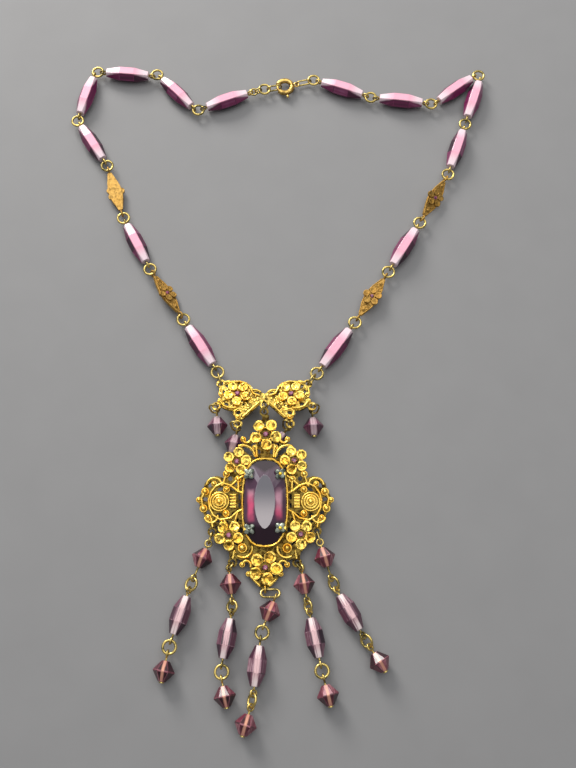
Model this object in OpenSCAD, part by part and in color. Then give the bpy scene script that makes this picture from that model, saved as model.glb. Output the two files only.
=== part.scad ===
// Festoon necklace with amethyst glass beads, a pierced filigree pendant and five drops,
// lying on a flat surface. Millimetres, X to the right, Y away from the front, Z up.
// Places in the tables are measured from the middle of the pendant's stone.

/* [Whole] */
// How far the stone's middle lies to the right of the origin
stone_x = -4.25; // [-8:0.05:0]
// How far the stone's middle lies behind the origin
stone_y = -47.45; // [-52:0.05:-42]

/* [Long beads] */
// Length of a chain bead
chain_bead_len = 15.6; // [15:0.1:16.4]
// Length of a long drop bead
drop_bead_len = 11.7; // [11:0.1:12.4]
// Width across the corners of a long bead's belly
long_bead_d = 5.6; // [5:0.1:5.8]
// Width across the corners of a chain bead's ends
chain_bead_end_d = 3.3; // [3:0.1:3.6]
// Width across the corners of a long drop bead's ends
drop_bead_end_d = 2.7; // [2.4:0.1:3]

/* [Bicones] */
// Length of a bicone
bicone_len = 6; // [5.6:0.1:6.2]
// Width across the corners of a drop's bicone
bicone_d = 6.7; // [6.2:0.1:6.8]
// Width across the corners of the two front bicones that carry the pendant's top
front_bicone_d = 6.1; // [5.6:0.1:6.2]
// Drilled hole of every bead
bore_d = 1; // [0.9:0.05:1.1]

/* [Wire] */
// Radius of an eye loop, to the middle of its wire
eye_r = 1; // [0.96:0.01:1.04]
// Wire of the eye pins and loops
pin_wire = 0.62; // [0.56:0.01:0.64]
// Radius of a jump ring, to the middle of its wire
ring_r = 1.95; // [1.9:0.01:2]
// Wire of the jump rings
ring_wire = 0.8; // [0.7:0.01:0.82]
// Wire of the small upright links
link_wire = 0.6; // [0.5:0.01:0.6]

/* [Clasp] */
// Radius of the spring ring, to the middle of its tube
clasp_r = 2.65; // [2.6:0.05:2.8]
// Outer width of the spring ring's tube
clasp_tube = 1.8; // [1.7:0.05:1.8]
// Width of the tongue inside the tube
tongue_d = 1; // [0.9:0.02:1]
// Play between the tongue and the tube, on the radius
tongue_play = 0.09; // [0.08:0.01:0.12]

/* [Stone] */
// Width of the stone
stone_w = 13.2; // [12.8:0.1:13.4]
// Length of the stone
stone_l = 26.2; // [25.6:0.1:26.4]
// Height of the stone
stone_h = 4.5; // [4.2:0.1:4.8]

/* [Pendant] */
// Lean of the pendant, whose top lies on two front bicones
pendant_lean = 6.5; // [6.3:0.1:7]
// Thickness of the pierced plate
plate_h = 0.9; // [0.8:0.05:1]
// Height of the raised wires
wire_h = 1.5; // [1.3:0.05:1.7]
// Width of the filigree wires
wire_w = 0.75; // [0.6:0.05:0.85]

/* [Hidden] */

GLASS = [0.45, 0.2, 0.38];
GILT = [0.83, 0.66, 0.22];
BRASS = [0.66, 0.58, 0.26];

// A link point is where the middle of a ring's wire crosses the middle of an eye. Rings lap each other by their
// wires and a little play, with more play where they meet at a slant.
bead_gap = 0.05;
eye_reach = eye_r + pin_wire / 2 + bead_gap;
chain_span = chain_bead_len + 2 * eye_reach;
chain_z = long_bead_d / 2 * cos(30);
drop_z = bicone_d / 2 * cos(30);
bead_waist = 0.3;
belly_share = 0.34;
lap = ring_wire / 2 + link_wire / 2 + 0.1;
slant_lap = lap + 0.12;

// Chain from the front outwards: kind, heading of the piece, turn of the ring behind it, roll of the piece,
// turn of the ring before it
LEFT_CHAIN = [
    ["bead", 122.5, 0, 0, 0], ["plaque", 123, 0, 35, 0], ["bead", 117.5, 0, 0, 0], ["plaque", 108.5, 0, 180, 0],
    ["bead", 122.5, 0, 0, 0], ["bead", 76.5, -25, 0, 0], ["bead", -5, 25, 0, 0], ["bead", -46.5, 25, 0, 0],
    ["bead", 21.5, 0, 0, 0]
];
RIGHT_CHAIN = [
    ["bead", 54.5, 0, 0, 0], ["plaque", 57.5, 0, 0, 0], ["bead", 58.5, 0, 0, 0], ["plaque", 60.5, 0, 30, 0],
    ["bead", 70.5, 0, 0, 0], ["bead", 71, 28.5, 0, 0], ["bead", 218, -23, 0, -20], ["bead", 173, -3, 0, 0]
];

function unit(a) = [cos(a), sin(a)];
function at(p, z) = [p[0], p[1], z];
function mean(p, q) = (p + q) / 2;
function bearing(p, q) = atan2(q[1] - p[1], q[0] - p[0]);
function piece_start(c, row) = c + ring_r * unit(row[1] + row[4]);
function piece_end(c, row) = piece_start(c, row) + chain_span * unit(row[1]);
function next_ring(c, row) = piece_end(c, row) + ring_r * unit(row[1] + row[2]);
function walk(rows, c, i = 0) = i == len(rows) ? [c] : concat([c], walk(rows, next_ring(c, rows[i]), i + 1));
// Corner of a triangle on the segment p q with sides a from p and b from q, on the left of p to q for side = 1
function corner(p, q, a, b, side) =
    let (d = norm(q - p), along = acos((a * a + d * d - b * b) / (2 * a * d)))
    p + a * unit(bearing(p, q) + side * along);

// Front yoke: places from the joint between its two plaques
yoke_at = [-0.5, 33.8];
yoke_z = 4.5;
yoke_lean = -10;
yoke_h = 0.9;
loop_z = 0.45;
yoke_top_loop = [14.1, 5];
yoke_side_loop = [15.3, -3.2];
yoke_low_loop = [8.3, -9.5];
yoke_mid_loop = [0, -2.6];
loop_r = 1.15;

// Point of the yoke's own frame in the necklace's frame, and the same for the leaning pendant
lean_y = -29.3;
function leant(p, a, y0, base) =
    [p[0], y0 + (p[1] - y0) * cos(a) - p[2] * sin(a), base + (p[1] - y0) * sin(a) + p[2] * cos(a)];
function on_yoke(p) = at(yoke_at, 0) + leant(p, yoke_lean, 0, yoke_z);
function on_pendant(p) = leant(p, pendant_lean, lean_y, 0);

// First jump ring of each side and the upright ring between it and the yoke
front_ring_gap = 4.9;
left_loop = on_yoke([-yoke_top_loop[0], yoke_top_loop[1], loop_z]);
right_loop = on_yoke([yoke_top_loop[0], yoke_top_loop[1], loop_z]);
left_start = [left_loop[0], left_loop[1]] + front_ring_gap * unit(107);
right_start = [right_loop[0], right_loop[1]] + (front_ring_gap + 0.3) * unit(54);
LEFT_RINGS = walk(LEFT_CHAIN, left_start);
RIGHT_RINGS = walk(RIGHT_CHAIN, right_start);

// From the last left bead to the clasp: a small ring, a small upright link, a jump ring and an oval link
clasp_z = 1.75;
small_ring_r = 1.3;
small_link_r = 1.25;
oval_r = 1.35;
oval_straight = 2.6;
tail_heading = 17;
clasp_heading = 12;
last_left = piece_end(LEFT_RINGS[8], LEFT_CHAIN[8]);
tail_ring = last_left + small_ring_r * unit(tail_heading);
tail_link = tail_ring + (small_ring_r - lap + small_link_r) * unit(tail_heading);
tail_jump = tail_link + (small_link_r - lap + ring_r) * unit(tail_heading);
oval_start = tail_jump + (ring_r - slant_lap) * unit(clasp_heading);
oval_end = oval_start + (2 * oval_r + oval_straight) * unit(clasp_heading);
tube_grip = clasp_r - clasp_tube / 2 - link_wire / 2 - 0.13;
clasp_at = oval_end + tube_grip * unit(clasp_heading);

// The clasp's own eye points at the last right ring, found with the last right bead as two sides of a triangle
clasp_eye_r = 0.85;
clasp_eye_at = clasp_r + clasp_tube / 2 + clasp_eye_r;
end_oval_straight = 3;
end_oval_len = 2 * small_link_r + end_oval_straight;
ring_to_clasp = clasp_eye_at + end_oval_len - slant_lap + ring_r;
bead_side = 2 * ring_r + chain_span;
last_ring = RIGHT_RINGS[8];
end_ring = corner(last_ring, clasp_at, bead_side, ring_to_clasp, -1);
RIGHT_LAST = ["bead", bearing(last_ring, end_ring), 0, 0, 0];
clasp_turn = bearing(clasp_at, end_ring);

// Drops: upper bicone's first link point, headings of the three beads, free wire above and below the upper bicone,
// radii of the two rings, rolls of the two rings, loop of the pendant, place on that loop's rim from its bearing
// to the drop, roll of the first eye
// x, y, heading 1, heading 2, heading 3, wire above, wire below, ring 1, ring 2, roll 1, roll 2, loop x, loop y, rim, eye
DROPS = [
    [-17.4, -12.8, -112, -108, -100, 0.4, 2.1, 1.95, 1.95, 30, 0, -16.3, -8.9, 0, 90],
    [-10.9, -20.3, -83, -100, -78, 0.4, 0.7, 1.65, 1.95, 30, 0, -9.9, -18.2, -20, 30],
    [3.3, -28.9, -112, -97, -106, 0.1, 0.3, 1.95, 1.95, 0, 55, 0.2, -26.3, 0, 0],
    [11.2, -20.3, -80, -78, -76, 0.4, 0.7, 1.65, 1.95, 55, 0, 9.9, -18.2, 20, -30],
    [17, -12.4, -73, -60, -58, 0.4, 2.1, 1.95, 1.95, 50, 50, 16.1, -8.7, 0, 90]
];
long_wire = 0.5;
tip_wire = 0.65;
// The lowest loop stands upright on the pendant's tip and holds a wide oval link
tip_drop = 2;
tip_eye_z = 1.45;
tip_link_wire = 0.7;

// Front bicones: link point x and y, heading, yoke loop, width across the corners, place on the loop's rim
FRONT_BEADS = [
    [-15.9, 29.5, -86, [-yoke_side_loop[0], yoke_side_loop[1]], bicone_d, -80],
    [-9.2, 23.4, -103, [-yoke_low_loop[0], yoke_low_loop[1]], front_bicone_d, -80],
    [6.7, 23.8, -127, [yoke_low_loop[0], yoke_low_loop[1]], front_bicone_d, -60],
    [15, 29.2, -86, [yoke_side_loop[0], yoke_side_loop[1]], bicone_d, 80]
];
front_wire = 0.15;

// Flowers of the pendant: x, y, radius of the petal ring, first petal's angle, petal radius
FLOWERS = [
    [0.1, 21.5, 3.3, 130, 1.75],
    [-8.9, 12.9, 2.9, 152, 1.6],
    [9.1, 13.2, 2.9, 109, 1.6],
    [-11.1, -10, 3, 127, 1.65],
    [11.1, -9.7, 3, 126, 1.65],
    [0.2, -19.8, 3.4, 138, 1.9]
];
petal_h = 1.2;
small_stone_d = 1.7;
small_stone_h = 1.1;

// Outline of the pendant's right half, from the neck round to the lowest loop
EDGE = [
    [1.1, 27.8], [1.2, 24.6], [3.4, 21], [5.2, 19.6], [6.6, 18.8], [8.1, 18.3], [9.2, 16.6], [11.6, 11.5], [13.2, 9.2],
    [12.9, 7.7], [15.1, 8.4], [17.4, 7.7], [18.9, 6], [19.4, 4], [20.4, 2.2], [21.2, 0.8], [20.4, -0.6], [20.3, -2.2],
    [19.1, -3.4], [18.6, -4.9], [17.4, -6.3], [16.9, -7.6], [15.2, -7.4], [14.4, -6.6], [13.4, -8], [13.6, -12],
    [12.4, -13.8], [11, -15.2], [10.8, -17], [8.9, -17], [7.4, -17.5], [5.6, -17.2], [4, -18.6], [4.9, -21.4],
    [3.9, -23.4], [2.4, -24.9], [1.2, -25.8], [0.9, -26.5]
];
// Gaps cut through the right half: x, y, length, width, direction of the length
GAPS = [
    [5.3, 16.3, 4.2, 1.5, 38], [3.6, 14.7, 2, 0.9, 75], [2, 16, 1.6, 0.8, 80], [3.7, 18.4, 1.7, 0.7, -25],
    [6.4, 10.4, 1.6, 0.6, -60], [9.2, 6, 1.4, 0.8, 35], [10.9, 7.5, 1.5, 1.1, 80], [13.6, 6.6, 1.5, 0.6, 20],
    [17.1, 5.5, 1.7, 0.9, -50], [18.4, 1.1, 1.9, 1, 10], [17.7, -3, 1.5, 0.9, 50], [10, 4.4, 1.5, 0.7, 30],
    [14, 4.2, 2, 0.8, -25], [10, -3.6, 1.3, 0.7, -35], [14.3, -3.6, 1.7, 0.7, 15], [8, 1.8, 1.8, 0.6, 90],
    [8, -0.8, 1.6, 0.6, 90], [8.6, -5.3, 1.5, 0.8, -70], [12, -6, 1.6, 0.7, -20], [14.6, -5.7, 1.2, 0.6, 30],
    [7.4, -8.6, 2.2, 0.8, 90], [4.3, -15, 2.6, 1, -65], [5.5, -16.4, 1.6, 0.8, -15], [8.6, -12.6, 1.2, 0.6, 60],
    [3.3, -16.6, 1.2, 0.7, -60]
];
// Filigree wires of the right half as arcs: x, y, radius, from angle, to angle
ARCS = [
    [15.9, 5.3, 2.4, 180, 10],
    [16.7, -4.1, 2.1, 180, 340],
    [7.1, 14.1, 3.9, 72, 175],
    [5.9, 20.1, 1.3, -170, 0],
    [6.7, -13.9, 2.9, 170, 300],
    [5.6, -19.1, 1.35, 5, 200]
];
// Straight-limbed wires of the right half
RUNS = [
    [[7.2, 3], [8.6, 3.6], [10.9, 5.4], [13.2, 6.1], [15.5, 5], [17, 3], [17.6, 0.6]],
    [[7.2, -2.2], [8.7, -2.9], [10.6, -4.7], [13.8, -5.3], [16, -3.9], [17.1, -2], [17.5, 0.2]],
    [[13.2, 5.6], [12.3, 8.6]],
    [[8.3, 3.4], [8.5, 7.3], [7, 8.2]],
    [[10.9, 5], [8.6, 7.2]],
    [[16.6, -5], [16.2, -7.4]],
    [[8.5, -3], [9.5, -6.3]],
    [[12.9, -5], [11.6, -7]],
    [[18.4, 4.4], [19.8, 1.2], [19.4, -1]],
    [[3.4, -23.4], [1.5, -25.2]],
    [[9.4, -14.8], [9.8, -17]],
    [[2.6, 14.4], [2.9, 18]]
];
// Granules in round cups of the right half: x, y, cup radius
CUPS = [
    [16, 5.9, 0.95], [18.7, 3.4, 1.3], [20.6, 0.9, 0.9], [19.1, -1.8, 1.3], [17.6, -4.6, 1],
    [12.1, 4.1, 1.15], [12.1, -3.3, 1.15], [12.2, 8.9, 1.15], [8.5, 7.3, 1.15], [7, 19.9, 0.9],
    [3.2, 17.4, 0.9], [6.9, -18.9, 0.9], [5, -21.7, 0.8], [6.9, -13.9, 1.6]
];
rosette_at = [14.2, 0.3];
rosette_r = 2.95;
bar_at = [9.95, 0.5];
bar_size = [1.8, 4.4];
gallery_wall = 0.45;
gallery_gap = 0.12;
gallery_h = 3.7;
stone_seat = 0.5;
girdle_h = 2.9;
PRONGS = [[-4.9, 8.6], [4.8, 8.6], [-4.7, -8.3], [4.8, -8]];
prong_z = 4.5;
neck_loop = [-0.5, 28.9];
PENDANT_LOOPS = concat([for (i = [0, 1, 3, 4]) [DROPS[i][11], DROPS[i][12]]], [neck_loop]);

function arc(c, r, a, b, n) = [for (i = [0:n]) c + r * unit(a + (b - a) * i / n)];
// Oblong with round ends as a superellipse of exponent 2.7, and a pointed oval at 1.5
function oblong(w, l, power, n) = [for (i = [0:n - 1]) let (c = cos(360 * i / n), s = sin(360 * i / n))
    [sign(c) * w / 2 * pow(abs(c), 2 / power), sign(s) * l / 2 * pow(abs(s), 2 / power)]];

// Closed faceted solid through level rings, from rows of [ring of 2-D points, height]
module lofted(rings) {
    n = len(rings[0][0]);
    last = (len(rings) - 1) * n;
    points = [for (ring = rings) for (p = ring[0]) [p[0], p[1], ring[1]]];
    walls = [for (k = [0:len(rings) - 2]) for (i = [0:n - 1]) let (j = (i + 1) % n)
        [k * n + i, (k + 1) * n + i, (k + 1) * n + j, k * n + j]];
    polyhedron(points, concat([[for (i = [0:n - 1]) i]], walls, [[for (i = [n - 1:-1:0]) last + i]]), convexity = 4);
}

function polygon_ring(r, sides, turn = 0) = [for (i = [0:sides - 1]) r * unit(turn + 360 * i / sides)];

// Six-sided bead along X through rows of [place along X, radius at the corners], drilled, a flat face upwards
module faceted_bead(rows) {
    rotate([0, 90, 0]) difference() {
        lofted([for (r = rows) [polygon_ring(r[1], 6, 30), r[0]]]);
        translate([0, 0, -20]) cylinder(h = 40, d = bore_d, $fn = 32);
    }
}

module long_bead(len, end_d) {
    belly = len * belly_share / 2;
    faceted_bead([[-len / 2, end_d / 2], [-belly, long_bead_d / 2], [belly, long_bead_d / 2], [len / 2, end_d / 2]]);
}

module bicone(d) {
    faceted_bead([[-bicone_len / 2, d * 0.18], [-bead_waist / 2, d / 2], [bead_waist / 2, d / 2],
        [bicone_len / 2, d * 0.18]]);
}

module torus(r, wire) {
    rotate_extrude($fn = 32) translate([r, 0]) circle(d = wire, $fn = 16);
}

module eye(roll = 0) {
    rotate([90 + roll, 0, 0]) torus(eye_r, pin_wire);
}

module wire_x(from, to, wire) {
    translate([from, 0, 0]) rotate([0, 90, 0]) cylinder(h = to - from, d = wire, $fn = 16);
}

// Pin along X with an eye at each end, from link point to link point
module eye_pin(from, to, first_roll = 0, last_roll = 0) {
    translate([from, 0, 0]) eye(first_roll);
    wire_x(from + eye_r, to - eye_r, pin_wire);
    translate([to, 0, 0]) eye(last_roll);
}

// Pin with one eye and a flat head
module head_pin(from, to, roll = 0) {
    translate([from, 0, 0]) eye(roll);
    wire_x(from + eye_r, to, pin_wire);
    wire_x(to, to + 0.35, 1.5);
}

// Stands on the middle of the line from p to q with X along it
module along(p, q, roll = 0) {
    d = q - p;
    flat = norm([d[0], d[1]]);
    translate(mean(p, q)) rotate([0, -atan2(d[2], flat), atan2(d[1], d[0])]) rotate([roll, 0, 0]) children();
}

// Ring through two link points
module ring_between(p, q, wire, roll = 90) {
    along(p, q, roll) torus(norm(q - p) / 2, wire);
}

// Link whose plane holds the points a, b and hole: it reaches past a and b by over_a and over_b
link_over = 1;
widest_link_r = 1.3;
module link_around(a, b, hole, over_a, over_b) {
    u = (b - a) / norm(b - a);
    w = cross(u, hole - a) / norm(cross(u, hole - a));
    v = cross(w, u);
    half = (norm(b - a) + over_a + over_b) / 2;
    c = a + u * (half - over_a);
    r = min(half, widest_link_r);
    multmatrix([[u[0], v[0], w[0], c[0]], [u[1], v[1], w[1], c[1]], [u[2], v[2], w[2], c[2]], [0, 0, 0, 1]])
        if (half - r < 0.01) torus(r, link_wire);
        else oval_link(2 * (half - r), r, link_wire);
}

// Flat loop soldered to a plate, and the place on its rim at an angle from its bearing to a point
module flat_loops(places) {
    translate([0, 0, loop_z - pin_wire / 2]) linear_extrude(pin_wire) difference() {
        for (p = places) disc(p, loop_r + pin_wire / 2, 24);
        for (p = places) disc(p, loop_r - pin_wire / 2, 24);
    }
}
function on_rim(p, hole, goal, turn) = at(p + loop_r * unit(bearing(hole, goal) + turn), loop_z);

// Oval link along X: its straight limbs are a hair thinner and run a little way into the bends
module oval_link(straight, r, wire) {
    for (s = [0, 1]) rotate(180 * s) {
        translate([straight / 2, 0, 0]) rotate(-90)
            rotate_extrude(angle = 180, $fn = 32) translate([r, 0]) circle(d = wire, $fn = 16);
        translate([0, r, 0]) wire_x(-straight / 2 - 0.05, straight / 2 + 0.05, wire - 0.02);
    }
}

// Frame of the chain piece that starts at ring c
module chain_piece(c, row) {
    translate(at(mean(piece_start(c, row), piece_end(c, row)), chain_z)) rotate(row[1]) rotate([row[3], 0, 0])
        children();
}

module left_bead(i) { color(GLASS) chain_piece(LEFT_RINGS[i], LEFT_CHAIN[i]) long_bead(chain_bead_len, chain_bead_end_d); }
module right_bead(i) {
    row = i == 8 ? RIGHT_LAST : RIGHT_CHAIN[i];
    color(GLASS) chain_piece(RIGHT_RINGS[i], row) long_bead(chain_bead_len, chain_bead_end_d);
}

module eye_pins(rings, rows) {
    color(BRASS) for (i = [0:len(rows) - 1]) if (rows[i][0] == "bead")
        chain_piece(rings[i], rows[i]) eye_pin(-chain_span / 2, chain_span / 2);
}

module jump_ring(c) {
    translate(at(c, chain_z)) torus(ring_r, ring_wire);
}

// Height of the far end of the upright ring that drops from the yoke to the first jump ring
module front_ring(loop, first, heading) {
    far = first - (ring_r - slant_lap) * unit(heading);
    ring_between(loop, at(far, chain_z), link_wire);
}

module jump_rings_left() {
    color(BRASS) {
        for (i = [0:8]) jump_ring(LEFT_RINGS[i]);
        front_ring(left_loop, left_start, 107);
        translate(at(tail_ring, chain_z)) torus(small_ring_r, link_wire);
        translate(at(tail_link, chain_z)) rotate(tail_heading) rotate([90, 0, 0]) torus(small_link_r, link_wire);
        jump_ring(tail_jump);
        translate(at(mean(oval_start, oval_end), (chain_z + clasp_z) / 2)) rotate(clasp_heading)
            rotate([90, 0, 0]) oval_link(oval_straight, oval_r, link_wire);
    }
}

module jump_rings_right() {
    oval_at = mean(clasp_at + clasp_eye_at * unit(clasp_turn),
        clasp_at + (clasp_eye_at + end_oval_len) * unit(clasp_turn));
    color(BRASS) {
        for (i = [0:8]) jump_ring(RIGHT_RINGS[i]);
        jump_ring(end_ring);
        front_ring(right_loop, right_start, 54);
        translate(at(oval_at, (chain_z + clasp_z) / 2)) rotate(clasp_turn)
            rotate([90, 0, 0]) oval_link(end_oval_straight, small_link_r, link_wire);
    }
}

// One dished petal standing on the plane
module petal(r, h) {
    difference() {
        cylinder(h = h, r = r, $fn = 9);
        translate([0, 0, h * 0.55]) cylinder(h = h, r1 = r * 0.4, r2 = r * 1.1, $fn = 9);
    }
}

module petal_ring(ring, turn, r, h) {
    for (i = [0:4]) rotate(turn + 72 * i) translate([ring, 0, 0]) petal(r, h);
}

// Narrow plaque of the chain: tapering plate with a flower and an end loop at each end
plaque_len = 15.4;
plaque_w = 4.6;
plaque_h = 0.8;
plaque_flower = [2.15, 1.15];

module plaque_plate() {
    linear_extrude(plaque_h) {
        polygon([[-plaque_len / 2, -0.7], [-plaque_len / 4, -plaque_w / 2 + 0.5], [-1.5, -plaque_w / 2],
            [1.5, -plaque_w / 2], [plaque_len / 4, -plaque_w / 2 + 0.5], [plaque_len / 2, -0.7],
            [plaque_len / 2, 0.7], [plaque_len / 4, plaque_w / 2 - 0.5], [1.5, plaque_w / 2],
            [-1.5, plaque_w / 2], [-plaque_len / 4, plaque_w / 2 - 0.5], [-plaque_len / 2, 0.7]]);
    }
}

module chain_plaque() {
    translate([0, 0, -plaque_h / 2]) {
        plaque_plate();
        translate([0, 0, plaque_h - 0.1]) petal_ring(plaque_flower[0], 18, plaque_flower[1], 0.8);
        for (s = [-1, 1]) translate([s * plaque_len * 0.36, 0, plaque_h - 0.1]) cylinder(h = 0.4, r = 0.6, $fn = 12);
        difference() {
            cylinder(h = plaque_h + 0.5, r = 0.95, $fn = 24);
            translate([0, 0, plaque_h - 0.2]) cylinder(h = 2, r = 0.72, $fn = 24);
        }
    }
    for (s = [0, 180]) rotate(s) {
        wire_x(plaque_len / 2 - 0.3, chain_span / 2 - eye_r, 0.7);
        translate([chain_span / 2, 0, 0]) eye();
    }
}

module left_plaque(i) { color(GILT) chain_piece(LEFT_RINGS[i], LEFT_CHAIN[i]) chain_plaque(); }
module right_plaque(i) { color(GILT) chain_piece(RIGHT_RINGS[i], RIGHT_CHAIN[i]) chain_plaque(); }

// Small round stone with a table and eight facets, girdle at the foot
module small_stone(d, h) {
    lofted([[polygon_ring(d * 0.2, 8), 0], [polygon_ring(d / 2, 8), h * 0.45], [polygon_ring(d / 2, 8), h * 0.6],
        [polygon_ring(d * 0.3, 8), h]]);
}

module plaque_stone() {
    translate([0, 0, plaque_h / 2 + 0.03]) small_stone(1.3, 0.9);
}

module plaque_stones() {
    color(GLASS) {
        for (i = [1, 3]) chain_piece(LEFT_RINGS[i], LEFT_CHAIN[i]) plaque_stone();
        for (i = [1, 3]) chain_piece(RIGHT_RINGS[i], RIGHT_CHAIN[i]) plaque_stone();
        yoke_frame() for (s = [0, 1]) mirror([s, 0, 0]) translate([yoke_flower[0], yoke_flower[1], 1])
            small_stone(small_stone_d, small_stone_h);
    }
}

// Spring-ring clasp, flat, its eye along +X before it is turned
clasp_mouth_from = 148;
clasp_mouth_to = 212;
slot_from = 266;
slot_to = 336;
tongue_from = 140;
tongue_to = 286;
trigger_angle = 272;
trigger_ball = 1.1;

module sector(r, from, to) {
    rotate(from) rotate_extrude(angle = to - from, $fn = 64) translate([r, 0]) children();
}

module clasp_ring() {
    color(GILT) translate(at(clasp_at, clasp_z)) rotate(clasp_turn) {
        difference() {
            sector(clasp_r, clasp_mouth_to, 360 + clasp_mouth_from) circle(d = clasp_tube, $fn = 32);
            sector(clasp_r, clasp_mouth_to - 5, 360 + clasp_mouth_from + 5)
                circle(r = tongue_d / 2 + tongue_play, $fn = 32);
            sector(clasp_r, slot_from, slot_to) translate([0, -0.32]) square([2, 0.64]);
        }
        translate([clasp_eye_at, 0, 0]) torus(clasp_eye_r, link_wire);
    }
}

module clasp_lever() {
    color(GILT) translate(at(clasp_at, clasp_z)) rotate(clasp_turn) {
        sector(clasp_r, tongue_from, tongue_to) circle(d = tongue_d, $fn = 32);
        rotate(trigger_angle) {
            wire_x(clasp_r, clasp_r + 1.6, 0.46);
            translate([clasp_r + 1.7, 0, 0]) sphere(d = trigger_ball, $fn = 24);
        }
    }
}

// Front yoke: outline of the right half, gaps and raised wires
yoke_flower = [8.7, 1];
YOKE_EDGE = [
    [1.2, 1.9], [2.4, 2.7], [3.7, 2.7], [4.4, 4.2], [5.8, 5.4], [7.9, 6.1], [10.2, 6.1], [12.3, 6.1], [13.4, 5.6],
    [14.5, 3.4], [14.7, 1.4], [14.3, -0.2], [15.2, -1.4], [14.8, -2.4], [13.2, -3.9], [11.4, -4.7], [9.8, -4.8],
    [10, -6], [9.2, -7.4], [8.8, -8.2], [7.4, -8.2], [6.3, -7.5], [1.6, -2.7], [1, -1.8], [0, -1.6]
];
YOKE_GAPS = [
    [2.4, 1.4, 1.6, 0.9, 20], [12, 4, 1.7, 0.8, 30], [13.1, 1.9, 1.4, 0.8, 90], [8.2, -5.6, 1.7, 1.1, -20],
    [12.1, -2.6, 1.6, 0.9, 40], [4.7, 1.4, 1, 0.5, 80], [6.7, -2.9, 1, 0.6, -45]
];
YOKE_RUNS = [
    [[1.6, 0.4], [3.6, 1.2], [4.7, 3.5], [6.2, 4.9], [8, 5.6], [10.8, 5.4], [12.8, 5.3]],
    [[14.3, -1.4], [13, -3.3], [10.8, -4.2], [9.1, -3.9]],
    [[1.8, -2.2], [6.7, -7.2]]
];

module yoke_frame() {
    translate(at(yoke_at, yoke_z)) rotate([yoke_lean, 0, 0]) children();
}

module disc(p, r, fn = 16) { translate(p) circle(r = r, $fn = fn); }

// Ribbon of even width along a run of points, and along an arc
function across(points, i) =
    let (d = points[min(i + 1, len(points) - 1)] - points[max(i - 1, 0)]) [-d[1], d[0]] / norm(d);

module strip(points, w) {
    last = len(points) - 1;
    polygon(concat([for (i = [0:last]) points[i] + across(points, i) * w / 2],
        [for (i = [last:-1:0]) points[i] - across(points, i) * w / 2]));
}

YOKE_LOOPS = [yoke_top_loop, yoke_side_loop, yoke_low_loop];

module yoke_plate() {
    difference() {
        for (s = [0, 1]) mirror([s, 0]) difference() {
            polygon(concat([[0, 1.2]], YOKE_EDGE));
            for (g = YOKE_GAPS) gap(g);
            for (p = YOKE_LOOPS) disc(p, loop_r - pin_wire / 2);
            for (i = [0:4]) disc(yoke_flower + 2.85 * unit(166 + 72 * i), 0.4, 6);
        }
        disc(yoke_mid_loop, loop_r - pin_wire / 2);
    }
}

module front_yoke() {
    color(GILT) yoke_frame() {
        linear_extrude(yoke_h) yoke_plate();
        flat_loops([yoke_mid_loop]);
        for (s = [0, 1]) mirror([s, 0, 0]) {
            flat_loops(YOKE_LOOPS);
            translate([0, 0, yoke_h / 2]) linear_extrude(1.3 - yoke_h / 2) for (r = YOKE_RUNS) strip(r, 0.65);
            translate([yoke_flower[0], yoke_flower[1], yoke_h - 0.1]) petal_ring(2.85, 130, 1.5, 1.1);
            for (p = [[14, 0.9], [8.2, -7.2], [14.3, -1.4], [11.6, 5.3]]) granule(p, yoke_h + 0.2, 0.7);
        }
    }
}

module yoke_link() {
    hole = on_yoke(at(yoke_mid_loop, loop_z));
    color(BRASS) link_around(on_yoke(at(yoke_mid_loop - [0, loop_r], loop_z)),
        on_pendant(at(neck_loop + [0, loop_r], loop_z)), hole, link_over, link_over);
}

// Head pin with its bicone along X from the link point
function front_link(row) = [row[0], row[1], row[4] / 2 * cos(30)];

module front_frame(row) {
    translate(front_link(row)) rotate(row[2]) children();
}

module front_bead(i) {
    color(GLASS) front_frame(FRONT_BEADS[i]) translate([eye_reach + front_wire + bicone_len / 2, 0, 0])
        bicone(FRONT_BEADS[i][4]);
}

module front_bead_findings() {
    color(BRASS) for (row = FRONT_BEADS) {
        front_frame(row) head_pin(0, eye_reach + front_wire + bicone_len + 0.05);
        hole = on_yoke(at(row[3], loop_z));
        link_around(on_yoke(on_rim(row[3], hole, row, row[5])), front_link(row), hole, link_over, 0);
    }
}

// Pendant
module pendant_frame() {
    translate([0, lean_y, 0]) rotate([pendant_lean, 0, 0]) translate([0, -lean_y, 0]) children();
}

module gallery_2d(extra) {
    polygon(oblong(stone_w + 2 * extra, stone_l + 2 * extra, 2.7, 24));
}

// Six-cornered opening
module gap(g) {
    translate([g[0], g[1]]) rotate(g[4])
        polygon([for (i = [0:5]) [g[2] * 0.55 * cos(60 * i), g[3] * 0.68 * sin(60 * i)]]);
}

module pendant_plate() {
    difference() {
        union() {
            difference() {
                for (s = [0, 1]) mirror([s, 0]) polygon(concat([[0, 27.8]], EDGE, [[0, -26.5]]));
                for (s = [0, 1]) mirror([s, 0]) for (g = GAPS) gap(g);
            }
            gallery_2d(gallery_gap + gallery_wall + 0.2);
            for (f = FLOWERS) disc([f[0], f[1]], f[2] - 0.3, 10);
            for (s = [0, 1]) mirror([s, 0]) {
                for (c = CUPS) disc([c[0], c[1]], c[2], 8);
                disc(rosette_at, rosette_r - 0.1, 12);
            }
        }
        gallery_2d(-1.2);
        for (p = PENDANT_LOOPS) disc(p, loop_r - pin_wire / 2, 24);
        for (f = FLOWERS) for (i = [0:4]) disc([f[0], f[1]] + f[2] * unit(f[3] + 36 + 72 * i), f[4] * 0.28, 6);
    }
}

module raised_wires() {
    for (s = [0, 1]) mirror([s, 0]) {
        for (a = ARCS)
            strip(arc([a[0], a[1]], a[2], a[3], a[4], max(4, round(abs(a[4] - a[3]) / 26))), wire_w);
        for (r = RUNS) strip(r, wire_w);
    }
}

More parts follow.
